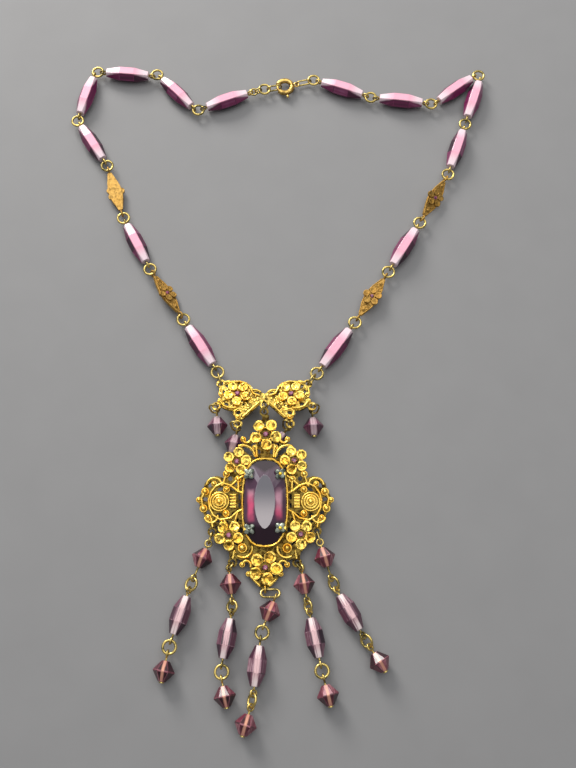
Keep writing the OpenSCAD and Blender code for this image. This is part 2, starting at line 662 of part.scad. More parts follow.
module granule(p, z, r) {
    translate([p[0], p[1], z]) rotate(30) sphere(r = r, $fn = 6);
}

module rosette() {
    for (k = [[1, 0.35], [0.72, 0.6], [0.45, 0.85]]) translate([0, 0, plate_h / 2])
        cylinder(h = plate_h / 2 + k[1], r = rosette_r * k[0], $fn = 12);
    granule([0, 0], plate_h + 0.85, 0.6);
}

function wall_x(y) = (stone_w / 2 + gallery_gap + gallery_wall / 2)
    * pow(1 - pow(abs(y) / (stone_l / 2 + gallery_gap), 2.7), 1 / 2.7);

// Four-leaved prong on an arm from the gallery wall
module leaf_prong(p) {
    foot = wall_x(p[1]);
    translate([p[0], p[1], prong_z]) rotate(45) for (i = [0:3]) rotate(90 * i)
        translate([0.7, 0, 0]) cylinder(h = 0.5, r1 = 0.68, r2 = 0.5, $fn = 6);
    translate([p[0], p[1], prong_z]) cylinder(h = 0.65, r = 0.55, $fn = 6);
    mirror([p[0] > 0 ? 0 : 1, 0, 0]) {
        translate([foot - 0.2, p[1] - 0.45, gallery_h - 0.2]) cube([0.5, 0.9, prong_z - gallery_h + 0.6]);
        translate([abs(p[0]), p[1] - 0.45, prong_z]) cube([foot - abs(p[0]), 0.9, 0.4]);
    }
}

module pendant_filigree() {
    color(GILT) pendant_frame() {
        linear_extrude(plate_h) pendant_plate();
        flat_loops(PENDANT_LOOPS);
        translate([DROPS[tip_drop][11], DROPS[tip_drop][12], tip_eye_z]) rotate(90) eye();
        translate([0, 0, plate_h / 2]) linear_extrude(wire_h - plate_h / 2) raised_wires();
        linear_extrude(gallery_h) difference() {
            gallery_2d(gallery_gap + gallery_wall);
            gallery_2d(gallery_gap);
        }
        for (f = FLOWERS) translate([f[0], f[1], plate_h - 0.1]) petal_ring(f[2], f[3], f[4], petal_h);
        for (s = [0, 1]) mirror([s, 0, 0]) {
            for (c = CUPS) granule(c, plate_h + 0.3, c[2] * 0.66);
            translate(rosette_at) rosette();
            translate([bar_at[0], bar_at[1], plate_h]) cube([bar_size[0], bar_size[1], 1], center = true);
        }
        for (p = PRONGS) leaf_prong(p);
    }
}

module centre_stone() {
    color(GLASS) pendant_frame() lofted([
        [oblong(stone_w * 0.34, stone_l * 0.6, 2, 24), stone_seat],
        [oblong(stone_w * 0.84, stone_l * 0.9, 2.4, 24), stone_seat + 1.5],
        [oblong(stone_w, stone_l, 2.7, 24), stone_seat + girdle_h - 0.4],
        [oblong(stone_w, stone_l, 2.7, 24), stone_seat + girdle_h],
        [oblong(stone_w * 0.5, stone_l * 0.66, 1.6, 24), stone_seat + stone_h]
    ]);
}

module flower_stones() {
    color(GLASS) pendant_frame() for (f = FLOWERS)
        translate([f[0], f[1], plate_h + 0.12]) small_stone(small_stone_d, small_stone_h);
}

// Drops
function drop_first(d) = [d[0], d[1]];
function top_span(d) = 2 * eye_reach + bicone_len + d[5] + d[6];
function long_span() = 2 * eye_reach + drop_bead_len + 2 * long_wire;
function top_end(d) = drop_first(d) + top_span(d) * unit(d[2]);
function drop_ring_1(d) = top_end(d) + d[7] * unit((d[2] + d[3]) / 2);
function long_start(d) = drop_ring_1(d) + d[7] * unit((d[2] + d[3]) / 2);
function long_end(d) = long_start(d) + long_span() * unit(d[3]);
function drop_ring_2(d) = long_end(d) + d[8] * unit((d[3] + d[4]) / 2);
function tip_start(d) = drop_ring_2(d) + d[8] * unit((d[3] + d[4]) / 2);

module piece_at(p, heading) {
    translate(at(p, drop_z)) rotate(heading) children();
}

module drop_top(i) {
    d = DROPS[i];
    color(GLASS) piece_at(drop_first(d), d[2]) translate([eye_reach + d[5] + bicone_len / 2, 0, 0]) bicone(bicone_d);
}

module drop_long(i) {
    d = DROPS[i];
    color(GLASS) piece_at(mean(long_start(d), long_end(d)), d[3]) long_bead(drop_bead_len, drop_bead_end_d);
}

module drop_tip(i) {
    d = DROPS[i];
    color(GLASS) piece_at(tip_start(d), d[4]) translate([eye_reach + tip_wire + bicone_len / 2, 0, 0])
        bicone(bicone_d);
}

// Oval link along X through the upright loop of the tip and the first eye of its drop
module tip_link(d) {
    p = on_pendant([d[11], d[12], tip_eye_z]);
    q = at(drop_first(d), drop_z);
    rise = [q[1] - p[1], q[2] - p[2]];
    translate(mean(p, q)) rotate([atan2(-rise[1], -rise[0]), 0, 0])
        oval_link(q[0] - p[0], norm(rise) / 2, tip_link_wire);
}

module pendant_link(d) {
    loop = [d[11], d[12]];
    hole = on_pendant(at(loop, loop_z));
    link_around(on_pendant(on_rim(loop, hole, d, d[13])), at(drop_first(d), drop_z), hole, link_over, 0);
}

module drop_findings(i) {
    d = DROPS[i];
    color(BRASS) {
        piece_at(drop_first(d), d[2]) eye_pin(0, top_span(d), d[14], d[9]);
        piece_at(long_start(d), d[3]) eye_pin(0, long_span(), d[9], d[10]);
        piece_at(tip_start(d), d[4]) head_pin(0, eye_reach + tip_wire + bicone_len + 0.05, d[10]);
        piece_at(drop_ring_1(d), (d[2] + d[3]) / 2) rotate([d[9], 0, 0]) torus(d[7], ring_wire);
        piece_at(drop_ring_2(d), (d[3] + d[4]) / 2) rotate([d[10], 0, 0]) torus(d[8], ring_wire);
        if (i == tip_drop) tip_link(d);
        else pendant_link(d);
    }
}

module whole() {
    translate([stone_x, stone_y, 0]) children();
}

LEFT_BEADS = [0, 2, 4, 5, 6, 7, 8];
for (k = [0:6]) {
    whole() left_bead(LEFT_BEADS[k]);
    whole() right_bead(LEFT_BEADS[k]);
}
whole() eye_pins(LEFT_RINGS, LEFT_CHAIN);  // eye_pins_left
whole() eye_pins(RIGHT_RINGS, concat(RIGHT_CHAIN, [RIGHT_LAST]));  // eye_pins_right
whole() jump_rings_left();
whole() jump_rings_right();
whole() left_plaque(3);  // chain_plaque_l1
whole() left_plaque(1);  // chain_plaque_l2
whole() right_plaque(3);  // chain_plaque_r1
whole() right_plaque(1);  // chain_plaque_r2
whole() clasp_ring();
whole() clasp_lever();
whole() front_yoke();
whole() yoke_link();
whole() plaque_stones();
for (i = [0:3]) whole() front_bead(i);
whole() front_bead_findings();
whole() pendant_filigree();
whole() centre_stone();
whole() flower_stones();
for (i = [0:4]) {
    whole() drop_top(i);
    whole() drop_long(i);
    whole() drop_tip(i);
    whole() drop_findings(i);
}
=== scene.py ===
"""Looks of a festoon necklace: amethyst glass beads, a gilt filigree pendant with a cut stone, and drops."""

import logging
import math
import random
from dataclasses import dataclass, field
from enum import Enum
from typing import Iterable, Sequence

import bmesh
import bpy
import numpy as np
from bmesh.types import BMEdge, BMesh, BMFace, BMVert
from bpy.types import Material, NodeSocket, NodeTree
from mathutils import Matrix, Vector

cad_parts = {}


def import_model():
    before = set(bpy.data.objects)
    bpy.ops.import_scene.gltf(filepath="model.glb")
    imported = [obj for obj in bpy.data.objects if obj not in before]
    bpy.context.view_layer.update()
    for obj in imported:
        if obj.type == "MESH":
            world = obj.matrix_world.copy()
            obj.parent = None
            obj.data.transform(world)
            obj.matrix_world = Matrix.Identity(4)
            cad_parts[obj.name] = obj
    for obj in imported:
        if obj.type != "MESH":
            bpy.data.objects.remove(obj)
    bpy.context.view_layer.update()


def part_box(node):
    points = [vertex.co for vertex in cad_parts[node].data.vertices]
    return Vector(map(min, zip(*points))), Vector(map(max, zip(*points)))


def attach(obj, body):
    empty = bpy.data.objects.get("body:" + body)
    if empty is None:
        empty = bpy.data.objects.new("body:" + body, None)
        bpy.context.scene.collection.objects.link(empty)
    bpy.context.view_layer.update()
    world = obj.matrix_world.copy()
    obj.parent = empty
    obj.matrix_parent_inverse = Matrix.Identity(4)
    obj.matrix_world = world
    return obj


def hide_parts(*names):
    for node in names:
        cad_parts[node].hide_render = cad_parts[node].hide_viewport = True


log = logging.getLogger("necklace")

MM = 0.001
NECKLACE = "necklace"
STONE_AT = Vector((-4.25, -47.45, 0.0))
FULL_TURN = 2 * math.pi
MERGE = 1e-4
UP = Vector((0, 0, 1))
Point = tuple[float, float]


class Slot(Enum):
    """Material slots of the record."""

    BEADS = "amethyst_beads"
    STONE = "centre_stone"
    GILT = "gilt_metal"


def rotation(degrees: float, axis: str) -> Matrix:
    """A turn about one axis, in degrees."""
    return Matrix.Rotation(math.radians(degrees), 4, axis)


def shift(x: float, y: float, z: float = 0.0) -> Matrix:
    """A move by x, y and z."""
    return Matrix.Translation((x, y, z))


def heading(degrees: float) -> Vector:
    """Level unit vector at an angle from +X."""
    return Vector((math.cos(math.radians(degrees)), math.sin(math.radians(degrees)), 0.0))


def seen_from(frame: Matrix) -> Matrix:
    """From object coordinates in metres back to a part's own frame in metres."""
    back = frame.inverted()
    back.translation = back.translation * MM
    return back


def coat(node: str, material: Material) -> None:
    """Gives a CAD node its finish."""
    materials = bpy.data.objects[node].data.materials
    materials.clear()
    materials.append(material)


def arc_points(row: Sequence[float], steps: int) -> list[Point]:
    """Points of an arc.

    Args:
        row: x and y of its middle, radius, first and last angle in degrees.
        steps: number of chords.

    Returns:
        The points from the first angle to the last.
    """
    x, y, radius, first, last = row
    angles = [first + (last - first) * i / steps for i in range(steps + 1)]
    return [(x + radius * heading(a).x, y + radius * heading(a).y) for a in angles]


def oblong(width: float, length: float, power: float, count: int) -> list[Point]:
    """Points of a rounded oblong.

    Args:
        width: whole width along X.
        length: whole length along Y.
        power: 2 is an ellipse, more is squarer, less is more pointed.
        count: number of points.

    Returns:
        The points, counter-clockwise from +X.
    """
    points = []
    for i in range(count):
        c, s = math.cos(FULL_TURN * i / count), math.sin(FULL_TURN * i / count)
        x = math.copysign(width / 2 * abs(c) ** (2 / power), c)
        y = math.copysign(length / 2 * abs(s) ** (2 / power), s)
        points.append((x, y))
    return points


@dataclass
class Value:
    """A number that varies over a surface, joined to others by ordinary arithmetic."""

    tree: NodeTree
    socket: NodeSocket

    def math(self, operation: str, other: "Value | float | None" = None, swap: bool = False) -> "Value":
        """One Math node.

        Args:
            operation: Blender's name of the operation.
            other: second operand, if it has one.
            swap: puts the second operand first.

        Returns:
            The node's result.
        """
        node = self.tree.nodes.new("ShaderNodeMath")
        node.operation = operation
        mine, theirs = (node.inputs[1], node.inputs[0]) if swap else (node.inputs[0], node.inputs[1])
        self.tree.links.new(self.socket, mine)
        if isinstance(other, Value):
            self.tree.links.new(other.socket, theirs)
        elif other is not None:
            theirs.default_value = other
        return Value(self.tree, node.outputs[0])

    def __add__(self, other: "Value | float") -> "Value":
        """Sum."""
        return self.math("ADD", other)

    __radd__ = __add__

    def __sub__(self, other: "Value | float") -> "Value":
        """Difference."""
        return self.math("SUBTRACT", other)

    def __rsub__(self, other: float) -> "Value":
        """Difference from a plain number."""
        return self.math("SUBTRACT", other, swap=True)

    def __mul__(self, other: "Value | float") -> "Value":
        """Product."""
        return self.math("MULTIPLY", other)

    __rmul__ = __mul__

    def __abs__(self) -> "Value":
        """Size without sign."""
        return self.math("ABSOLUTE")

    def ramp(self, low: float, high: float) -> "Value":
        """Smooth step from 0 at low to 1 at high, or the other way round if low is the larger."""
        node = self.tree.nodes.new("ShaderNodeMapRange")
        node.interpolation_type = "SMOOTHSTEP"
        first, last = min(low, high), max(low, high)
        node.inputs["From Min"].default_value = first
        node.inputs["From Max"].default_value = last
        node.inputs["To Min"].default_value = 0.0 if low < high else 1.0
        node.inputs["To Max"].default_value = 1.0 if low < high else 0.0
        self.tree.links.new(self.socket, node.inputs["Value"])
        return Value(self.tree, node.outputs["Result"])


@dataclass
class Colour:
    """A colour that varies over a surface: an output socket or a plain colour."""

    tree: NodeTree
    source: "NodeSocket | tuple"

    def feed(self, socket: NodeSocket) -> None:
        """Joins the colour to an input socket."""
        if isinstance(self.source, tuple):
            socket.default_value = (*self.source, 1.0)
        else:
            self.tree.links.new(self.source, socket)

    def towards(self, other: "Colour | tuple", share: Value) -> "Colour":
        """This colour where share is 0, the other where it is 1."""
        node = self.tree.nodes.new("ShaderNodeMix")
        node.data_type = "RGBA"
        node.clamp_factor = True
        goal = other if isinstance(other, Colour) else Colour(self.tree, other)
        self.feed(node.inputs[6])
        goal.feed(node.inputs[7])
        self.tree.links.new(share.socket, node.inputs[0])
        return Colour(self.tree, node.outputs[2])


class Surface:
    """Maker of one material's nodes."""

    def __init__(self, name: str) -> None:
        """Starts a material with an empty principled shader."""
        self.material = bpy.data.materials.new(name)
        self.material.use_nodes = True
        self.tree = self.material.node_tree
        self.shader = self.tree.nodes["Principled BSDF"]

    def node(self, kind: str, settings: dict | None = None, links: dict | None = None) -> bpy.types.Node:
        """Adds any other node.

        Args:
            kind: Blender's node type.
            settings: values of its inputs by name.
            links: Value, Colour or socket for its inputs by name.

        Returns:
            The new node.
        """
        made = self.tree.nodes.new(kind)
        for key, value in (settings or {}).items():
            made.inputs[key].default_value = value
        for key, value in (links or {}).items():
            source = value.socket if isinstance(value, Value) else value
            self.tree.links.new(source, made.inputs[key])
        return made

    def colour(self, rgb: tuple) -> Colour:
        """A plain colour."""
        return Colour(self.tree, rgb)

    def place(self, mapping: Matrix | None = None) -> NodeSocket:
        """Object coordinates, in metres, seen from a part's own frame if a mapping is given."""
        coordinates = self.node("ShaderNodeTexCoord").outputs["Object"]
        if mapping is None:
            return coordinates
        mapped = self.node("ShaderNodeMapping", links={"Vector": coordinates})
        mapped.inputs["Rotation"].default_value = mapping.to_euler()
        mapped.inputs["Location"].default_value = mapping.to_translation()
        return mapped.outputs["Vector"]

    def noise(self, scale: float, detail: float = 3.0, where: NodeSocket | None = None) -> Value:
        """Soft cloudy noise from 0 to 1 on object coordinates."""
        made = self.node(
            "ShaderNodeTexNoise", {"Scale": scale, "Detail": detail}, {"Vector": where or self.place()}
        )
        return Value(self.tree, made.outputs["Fac"])

    def grit(self, scale: float) -> Value:
        """Distance to the nearest of many scattered points."""
        made = self.node("ShaderNodeTexVoronoi", {"Scale": scale}, {"Vector": self.place()})
        return Value(self.tree, made.outputs["Distance"])

    def attribute(self, name: str) -> Value:
        """A number stored on the mesh."""
        made = self.node("ShaderNodeAttribute")
        made.attribute_name = name
        return Value(self.tree, made.outputs["Fac"])

    def axes(self, vector: NodeSocket) -> tuple[Value, Value, Value]:
        """The three parts of a vector."""
        made = self.node("ShaderNodeSeparateXYZ", links={"Vector": vector})
        return tuple(Value(self.tree, made.outputs[i]) for i in range(3))

    def facet_axes(self) -> tuple[Value, Value]:
        """Place along the bead and to the side of its hole, from the piece's own map."""
        made = self.node("ShaderNodeUVMap")
        made.uv_map = "facet"
        along, across, _ = self.axes(made.outputs["UV"])
        return along, across

    def bump(self, height: Value, strength: float, depth: float) -> None:
        """Raises the surface by a height between 0 and 1.

        Args:
            height: the relief.
            strength: share of the effect.
            depth: real height of the relief in metres.
        """
        made = self.node("ShaderNodeBump", {"Strength": strength, "Distance": depth}, {"Height": height})
        self.tree.links.new(made.outputs["Normal"], self.shader.inputs["Normal"])

    def set(self, **values: "float | tuple") -> None:
        """Fixed values of the shader's own sockets, by name with underscores for spaces."""
        for key, value in values.items():
            self.shader.inputs[key.replace("_", " ")].default_value = value

    def drive(self, key: str, value: "Value | Colour") -> None:
        """Joins a varying value to one of the shader's sockets."""
        if isinstance(value, Colour):
            value.feed(self.shader.inputs[key])
        else:
            self.tree.links.new(value.socket, self.shader.inputs[key])


@dataclass(frozen=True)
class Finish:
    """A finish that makes one material."""

    name: str

    def material(self) -> Material:
        """Builds the material."""
        s = Surface(self.name)
        self.lay(s)
        return s.material

    def lay(self, s: Surface) -> None:
        """Joins up the nodes of the material."""


@dataclass(frozen=True)
class BeadGlass(Finish):
    """Amethyst glass whose pale drilled core shows as one column down the bead, with painted glints on its facets and
    a painted highlight on its polished edges.
    """

    core: tuple
    core_middle: tuple
    column: float
    dark: tuple = (0.022, 0.004, 0.016)
    flank: tuple = (0.1, 0.016, 0.06)
    painted_glint: tuple = (0.3, 0.1, 0.2)
    lines: float = 0.5
    softness: float = 0.22

    def lay(self, s: Surface) -> None:
        """Joins up the nodes."""
        along, across = s.facet_axes()
        tone = s.attribute("tone")
        stretched = s.node("ShaderNodeCombineXYZ", links={"X": along * 0.6, "Y": across * 2.4, "Z": tone * 7.0})
        streaks = s.noise(1.0, 3.0, stretched.outputs["Vector"])
        clouds = s.noise(420.0, 2.0)
        edge = abs(across) + (clouds - 0.5) * 0.3
        inside = edge.ramp(self.column + self.softness, self.column - self.softness)
        core = s.colour(self.core).towards(self.core_middle, abs(along).ramp(0.86, 0.3))
        core = core.towards(self.flank, streaks.ramp(0.5, 0.68) * self.lines)
        outside = s.colour(self.dark).towards(self.flank, (tone + streaks * 0.8).ramp(0.45, 1.1))
        # Painted glints: lighter patches on some facets, where they would catch the light.
        outside = outside.towards(self.painted_glint, (tone * 0.6 + streaks + clouds * 0.5).ramp(1.15, 1.6) * 0.8)
        # The polished edges get a little painted highlight.
        body = outside.towards(core, inside).towards(self.painted_glint, s.attribute("polished") * 0.07)
        s.drive("Base Color", body)
        s.set(Roughness=0.28, IOR=1.5, Coat_Weight=0.06, Coat_Roughness=0.15, Transmission_Weight=0.06)


@dataclass(frozen=True)
class Gilt(Finish):
    """Gilding with wear: lemon to orange, places rubbed down to pink copper, and dark brown painted shade in its pits
    and creases; on a plate also painted shade on the low parts, with painted dark holes.
    """

    lemon: tuple = (1.0, 0.71, 0.15)
    orange: tuple = (0.93, 0.5, 0.045)
    painted_shade: tuple = (0.022, 0.01, 0.001)
    copper: tuple = (0.72, 0.42, 0.2)
    frame: Matrix | None = None
    floor: float = 0.9
    top: float = 1.6
    scratches: float = 0.5
    copper_share: float = 0.12
    crease_shade: float = 0.8
    roughness: float = 0.22
    depth: float = 0.85
    lace: float = 640.0

    def lay(self, s: Surface) -> None:
        """Joins up the nodes."""
        cloud = s.noise(260.0, 4.0)
        fine = s.noise(1500.0, 3.0)
        creases = s.noise(720.0, 3.0)
        tone = s.attribute("tone")
        colour = s.colour(self.lemon).towards(self.orange, (cloud + tone * 0.35).ramp(0.46, 0.9))
        colour = colour.towards(self.copper, (cloud + tone).ramp(1.1, 1.42) * self.copper_share)
        # Painted shade in the fine pits of the surface.
        colour = colour.towards(self.painted_shade, fine.ramp(0.56, 0.76) * 0.6)
        # Painted shade in the creases, darker the larger the share given for it.
        colour = colour.towards(self.painted_shade, creases.ramp(0.5, 0.66) * self.crease_shade)
        # Painted shade on the plate below the relief, with painted dark holes scattered in it.
        if self.frame is not None:
            _, _, height = s.axes(s.place(self.frame))
            low = height.ramp(self.top * MM, self.floor * MM)
            painted_hole_shade = (s.grit(self.lace) + (fine - 0.5) * 0.3).ramp(0.5, 0.26)
            colour = colour.towards(self.painted_shade, low * (painted_hole_shade * (0.97 - self.depth) + self.depth))
        s.drive("Base Color", colour)
        s.drive("Roughness", fine * 0.3 + self.roughness - 0.1)
        s.set(Metallic=0.93, IOR=1.5)
        s.bump(fine * 0.5 + s.grit(1100.0) * 0.7 + creases * 1.6, self.scratches, 0.0003)


@dataclass(frozen=True)
class AgedWire(Finish):
    """Pale brass wire with greenish brown tarnish."""

    pale: tuple = (0.66, 0.5, 0.16)
    tarnish: tuple = (0.13, 0.11, 0.04)

    def lay(self, s: Surface) -> None:
        """Joins up the nodes."""
        cloud = s.noise(420.0, 3.0)
        fine = s.noise(1900.0, 2.0)
        colour = s.colour(self.pale).towards(self.tarnish, (cloud + fine * 0.5).ramp(0.66, 0.96))
        s.drive("Base Color", colour)
        s.drive("Roughness", fine * 0.35 + 0.18)
        s.set(Metallic=0.95)
        s.bump(fine, 0.25, 0.00008)


@dataclass(frozen=True)
class OldLeaf(Finish):
    """Grey-green tarnished metal of the prongs."""

    pale: tuple = (0.3, 0.34, 0.28)
    dark: tuple = (0.045, 0.06, 0.045)
    gold: tuple = (0.85, 0.6, 0.06)

    def lay(self, s: Surface) -> None:
        """Joins up the nodes."""
        cloud = s.noise(900.0, 4.0)
        colour = s.colour(self.pale).towards(self.dark, cloud.ramp(0.4, 0.6))
        s.drive("Base Color", colour.towards(self.gold, s.attribute("tone").ramp(0.9, 0.98)))
        s.drive("Roughness", cloud * 0.4 + 0.25)
        s.set(Metallic=0.7)
        s.bump(cloud, 0.6, 0.0002)


@dataclass(frozen=True)
class CutStone(Finish):
    """Dark amethyst glass with pink flanks and near-black ends; its polished table carries a grey painted reflection,
    lighter at the near end, its crown facets a lilac painted reflection, and a few of them a painted highlight.
    """

    frame: Matrix
    table_reflection_far: tuple = (0.09, 0.086, 0.105)
    table_reflection_near: tuple = (0.34, 0.305, 0.32)
    violet: tuple = (0.07, 0.035, 0.06)
    lilac_reflection: tuple = (0.22, 0.19, 0.225)
    pink: tuple = (0.62, 0.09, 0.19)
    rose: tuple = (0.55, 0.29, 0.37)
    black: tuple = (0.016, 0.004, 0.01)
    crown_highlight: tuple = (0.42, 0.4, 0.47)

    def lay(self, s: Surface) -> None:
        """Joins up the nodes."""
        x, y, _ = s.axes(s.place(self.frame))
        table = s.attribute("table")
        tone = s.attribute("tone")
        streaks = s.noise(330.0, 2.0)
        side = abs(abs(x) - 4.3 * MM + (streaks - 0.5) * 0.9 * MM).ramp(1.5 * MM, 0.35 * MM)
        reach = abs(y + 0.9 * MM + (streaks - 0.5) * 3.0 * MM).ramp(5.8 * MM, 2.6 * MM)
        flush = s.colour(self.pink).towards(self.rose, (y + x * 0.4).ramp(-2.4 * MM, 2.6 * MM))
        # Painted lilac reflection on the crown facets, stronger towards the far end.
        colour = s.colour(self.violet).towards(self.lilac_reflection, (tone + y * 40.0).ramp(0.55, 1.0) * 0.8)
        colour = colour.towards(flush, side * reach * (streaks * 0.8 + 0.5))
        near_end = (y * -1.0 + abs(x) * 0.2).ramp(6.2 * MM, 8.6 * MM)
        far_end = (y - abs(x) * 0.6).ramp(8.2 * MM, 9.8 * MM)
        colour = colour.towards(self.black, near_end).towards(self.black, far_end)
        # Painted grey reflection on the table, lighter at the near end.
        plate = s.colour(self.table_reflection_near).towards(self.table_reflection_far, y.ramp(-5.5 * MM, 5.0 * MM))
        colour = colour.towards(plate, table.ramp(0.4, 0.6))
        # Painted highlight on the few crown facets whose tone is near 1.
        colour = colour.towards(self.crown_highlight, tone.ramp(0.93, 0.99))
        s.drive("Base Color", colour)
        s.set(Roughness=0.05, IOR=1.5, Coat_Weight=0.1, Coat_Roughness=0.02)


@dataclass(frozen=True)
class SmallStone(Finish):
    """Small pink-violet faceted glass."""

    light: tuple = (0.36, 0.1, 0.2)
    dark: tuple = (0.05, 0.008, 0.03)

    def lay(self, s: Surface) -> None:
        """Joins up the nodes."""
        spots = s.grit(1400.0)
        colour = s.colour(self.dark).towards(self.light, spots.ramp(0.2, 0.6))
        s.drive("Base Color", colour)
        s.set(Roughness=0.06, IOR=1.6, Coat_Weight=0.6)


@dataclass(frozen=True)
class Floor(Finish):
    """Plain matt paper."""

    name: str = "pale_floor"
    shade: tuple = (0.2, 0.2, 0.203)
    grain: tuple = (0.22, 0.22, 0.223)

    def lay(self, s: Surface) -> None:
        """Joins up the nodes."""
        s.drive("Base Color", s.colour(self.shade).towards(self.grain, s.noise(60.0, 2.0)))
        s.set(Roughness=0.75)


class Blank:
    """One piece in the making: a bmesh in millimetres in the frame of the part that carries it."""

    def __init__(self) -> None:
        """Starts empty."""
        self.bm = self.fresh()

    @staticmethod
    def fresh() -> BMesh:
        """A new bmesh with the layers that the finishes read."""
        bm = bmesh.new()
        bm.loops.layers.uv.new("facet")
        for name in ("tone", "polished", "table"):
            bm.faces.layers.float.new(name)
        return bm

    def add(self, part: BMesh, place: Matrix, tone: float | None = None) -> None:
        """Joins a part on.

        Args:
            part: the part, which is used up.
            place: where it goes.
            tone: one shade from 0 to 1 for all its faces, if given.
        """
        part.transform(place)
        if place.determinant() < 0:
            bmesh.ops.reverse_faces(part, faces=part.faces[:])
        if tone is not None:
            layer = part.faces.layers.float["tone"]
            for face in part.faces:
                face[layer] = tone
        carrier = bpy.data.meshes.new("carrier")
        part.to_mesh(carrier)
        part.free()
        self.bm.from_mesh(carrier)
        bpy.data.meshes.remove(carrier)

    def wire(self, points: list[Vector], radius: float, tone: float, closed: bool = False) -> None:
        """Round wire along a run of points, and back to the first if closed."""
        ends = points[1:] + points[:1] if closed else points[1:]
        for a, b in zip(points, ends):
            self.add(limb(a, b, radius), Matrix(), tone)

    def finish(self, name: str, frame: Matrix, material: Material, slot: Slot,
               smooth: bool = True, replaced: Sequence[str] = ()) -> None:
        """Turns the blank into a piece of the necklace.

        Args:
            name: the piece's name.
            frame: the carrying part's frame, in millimetres.
            material: its finish.
            slot: the record's slot; not used.
            smooth: rounded rather than faceted shading.
            replaced: CAD nodes that it stands for.
        """
        self.bm.transform(Matrix.Scale(MM, 4) @ frame)
        for face in self.bm.faces:
            face.smooth = smooth
        mesh = bpy.data.meshes.new(name)
        self.bm.to_mesh(mesh)
        self.bm.free()
        mesh.materials.append(material)
        piece = bpy.data.objects.new(name, mesh)
        bpy.context.collection.objects.link(piece)
        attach(piece, NECKLACE)
        if replaced:
            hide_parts(*replaced)
        log.info("%s: %d faces", name, len(mesh.polygons))


def spun(points: Sequence[tuple], axis: tuple, steps: int) -> BMesh:
    """An open line of points turned once round an axis, with its doubles merged."""
    bm = Blank.fresh()
    verts = [bm.verts.new(point) for point in points]
    edges = [bm.edges.new(pair) for pair in zip(verts, verts[1:])]
    bmesh.ops.spin(bm, geom=verts + edges, cent=(0, 0, 0), axis=axis, dvec=(0, 0, 0), angle=FULL_TURN,
                   steps=steps, use_merge=True, use_duplicate=False)
    bmesh.ops.remove_doubles(bm, verts=bm.verts[:], dist=MERGE)
    return bm


def revolved(profile: Sequence[Point], steps: int) -> BMesh:
    """A profile of (radius, height) turned about Z.

    Args:
        profile: the points from the axis outwards and down.
        steps: sides of the result.

    Returns:
        The closed or open shell.
    """
    bm = spun([(r, 0.0, z) for r, z in profile], (0, 0, 1), steps)
    bmesh.ops.recalc_face_normals(bm, faces=bm.faces[:])
    return bm


def ball(radius: float, squash: float = 1.0) -> BMesh:
    """A round granule, flattened along Z by squash."""
    bm = Blank.fresh()
    bmesh.ops.create_icosphere(bm, subdivisions=2, radius=radius)
    bmesh.ops.scale(bm, vec=(1, 1, squash), verts=bm.verts[:])
    return bm


def ring(radius: float, wire: float, first: float = 0.0, turn: float = 360.0) -> BMesh:
    """A round wire bent to an arc about Z.

    Args:
        radius: to the middle of the wire.
        wire: the wire's radius.
        first: first angle in degrees.
        turn: how far it goes round, in degrees.

    Returns:
        The wire, closed on itself for a full turn.
    """
    bm = Blank.fresh()
    place = rotation(first, "Z") @ shift(radius, 0) @ rotation(90, "X")
    made = bmesh.ops.create_circle(bm, cap_ends=False, segments=8, radius=wire, matrix=place)
    full = abs(turn) >= 360
    geometry = made["verts"] + [e for e in bm.edges]
    bmesh.ops.spin(bm, geom=geometry, cent=(0, 0, 0), axis=(0, 0, 1), dvec=(0, 0, 0),
                   angle=math.radians(turn), steps=max(6, int(abs(turn) / 15)), use_merge=full,
                   use_duplicate=False)
    if full:
        bmesh.ops.remove_doubles(bm, verts=bm.verts[:], dist=MERGE)
    bmesh.ops.recalc_face_normals(bm, faces=bm.faces[:])
    return bm


def limb(start: Vector, end: Vector, radius: float) -> BMesh:
    """A straight stretch of round wire with round ends."""
    bm = Blank.fresh()
    run = end - start
    aim = run.to_track_quat("Z", "Y").to_matrix().to_4x4()
    bmesh.ops.create_cone(bm, cap_ends=False, segments=8, radius1=radius, radius2=radius, depth=run.length,
                          matrix=Matrix.Translation((start + end) / 2) @ aim)
    for point in (start, end):
        bmesh.ops.create_icosphere(bm, subdivisions=1, radius=radius * 1.02, matrix=Matrix.Translation(point))
    return bm


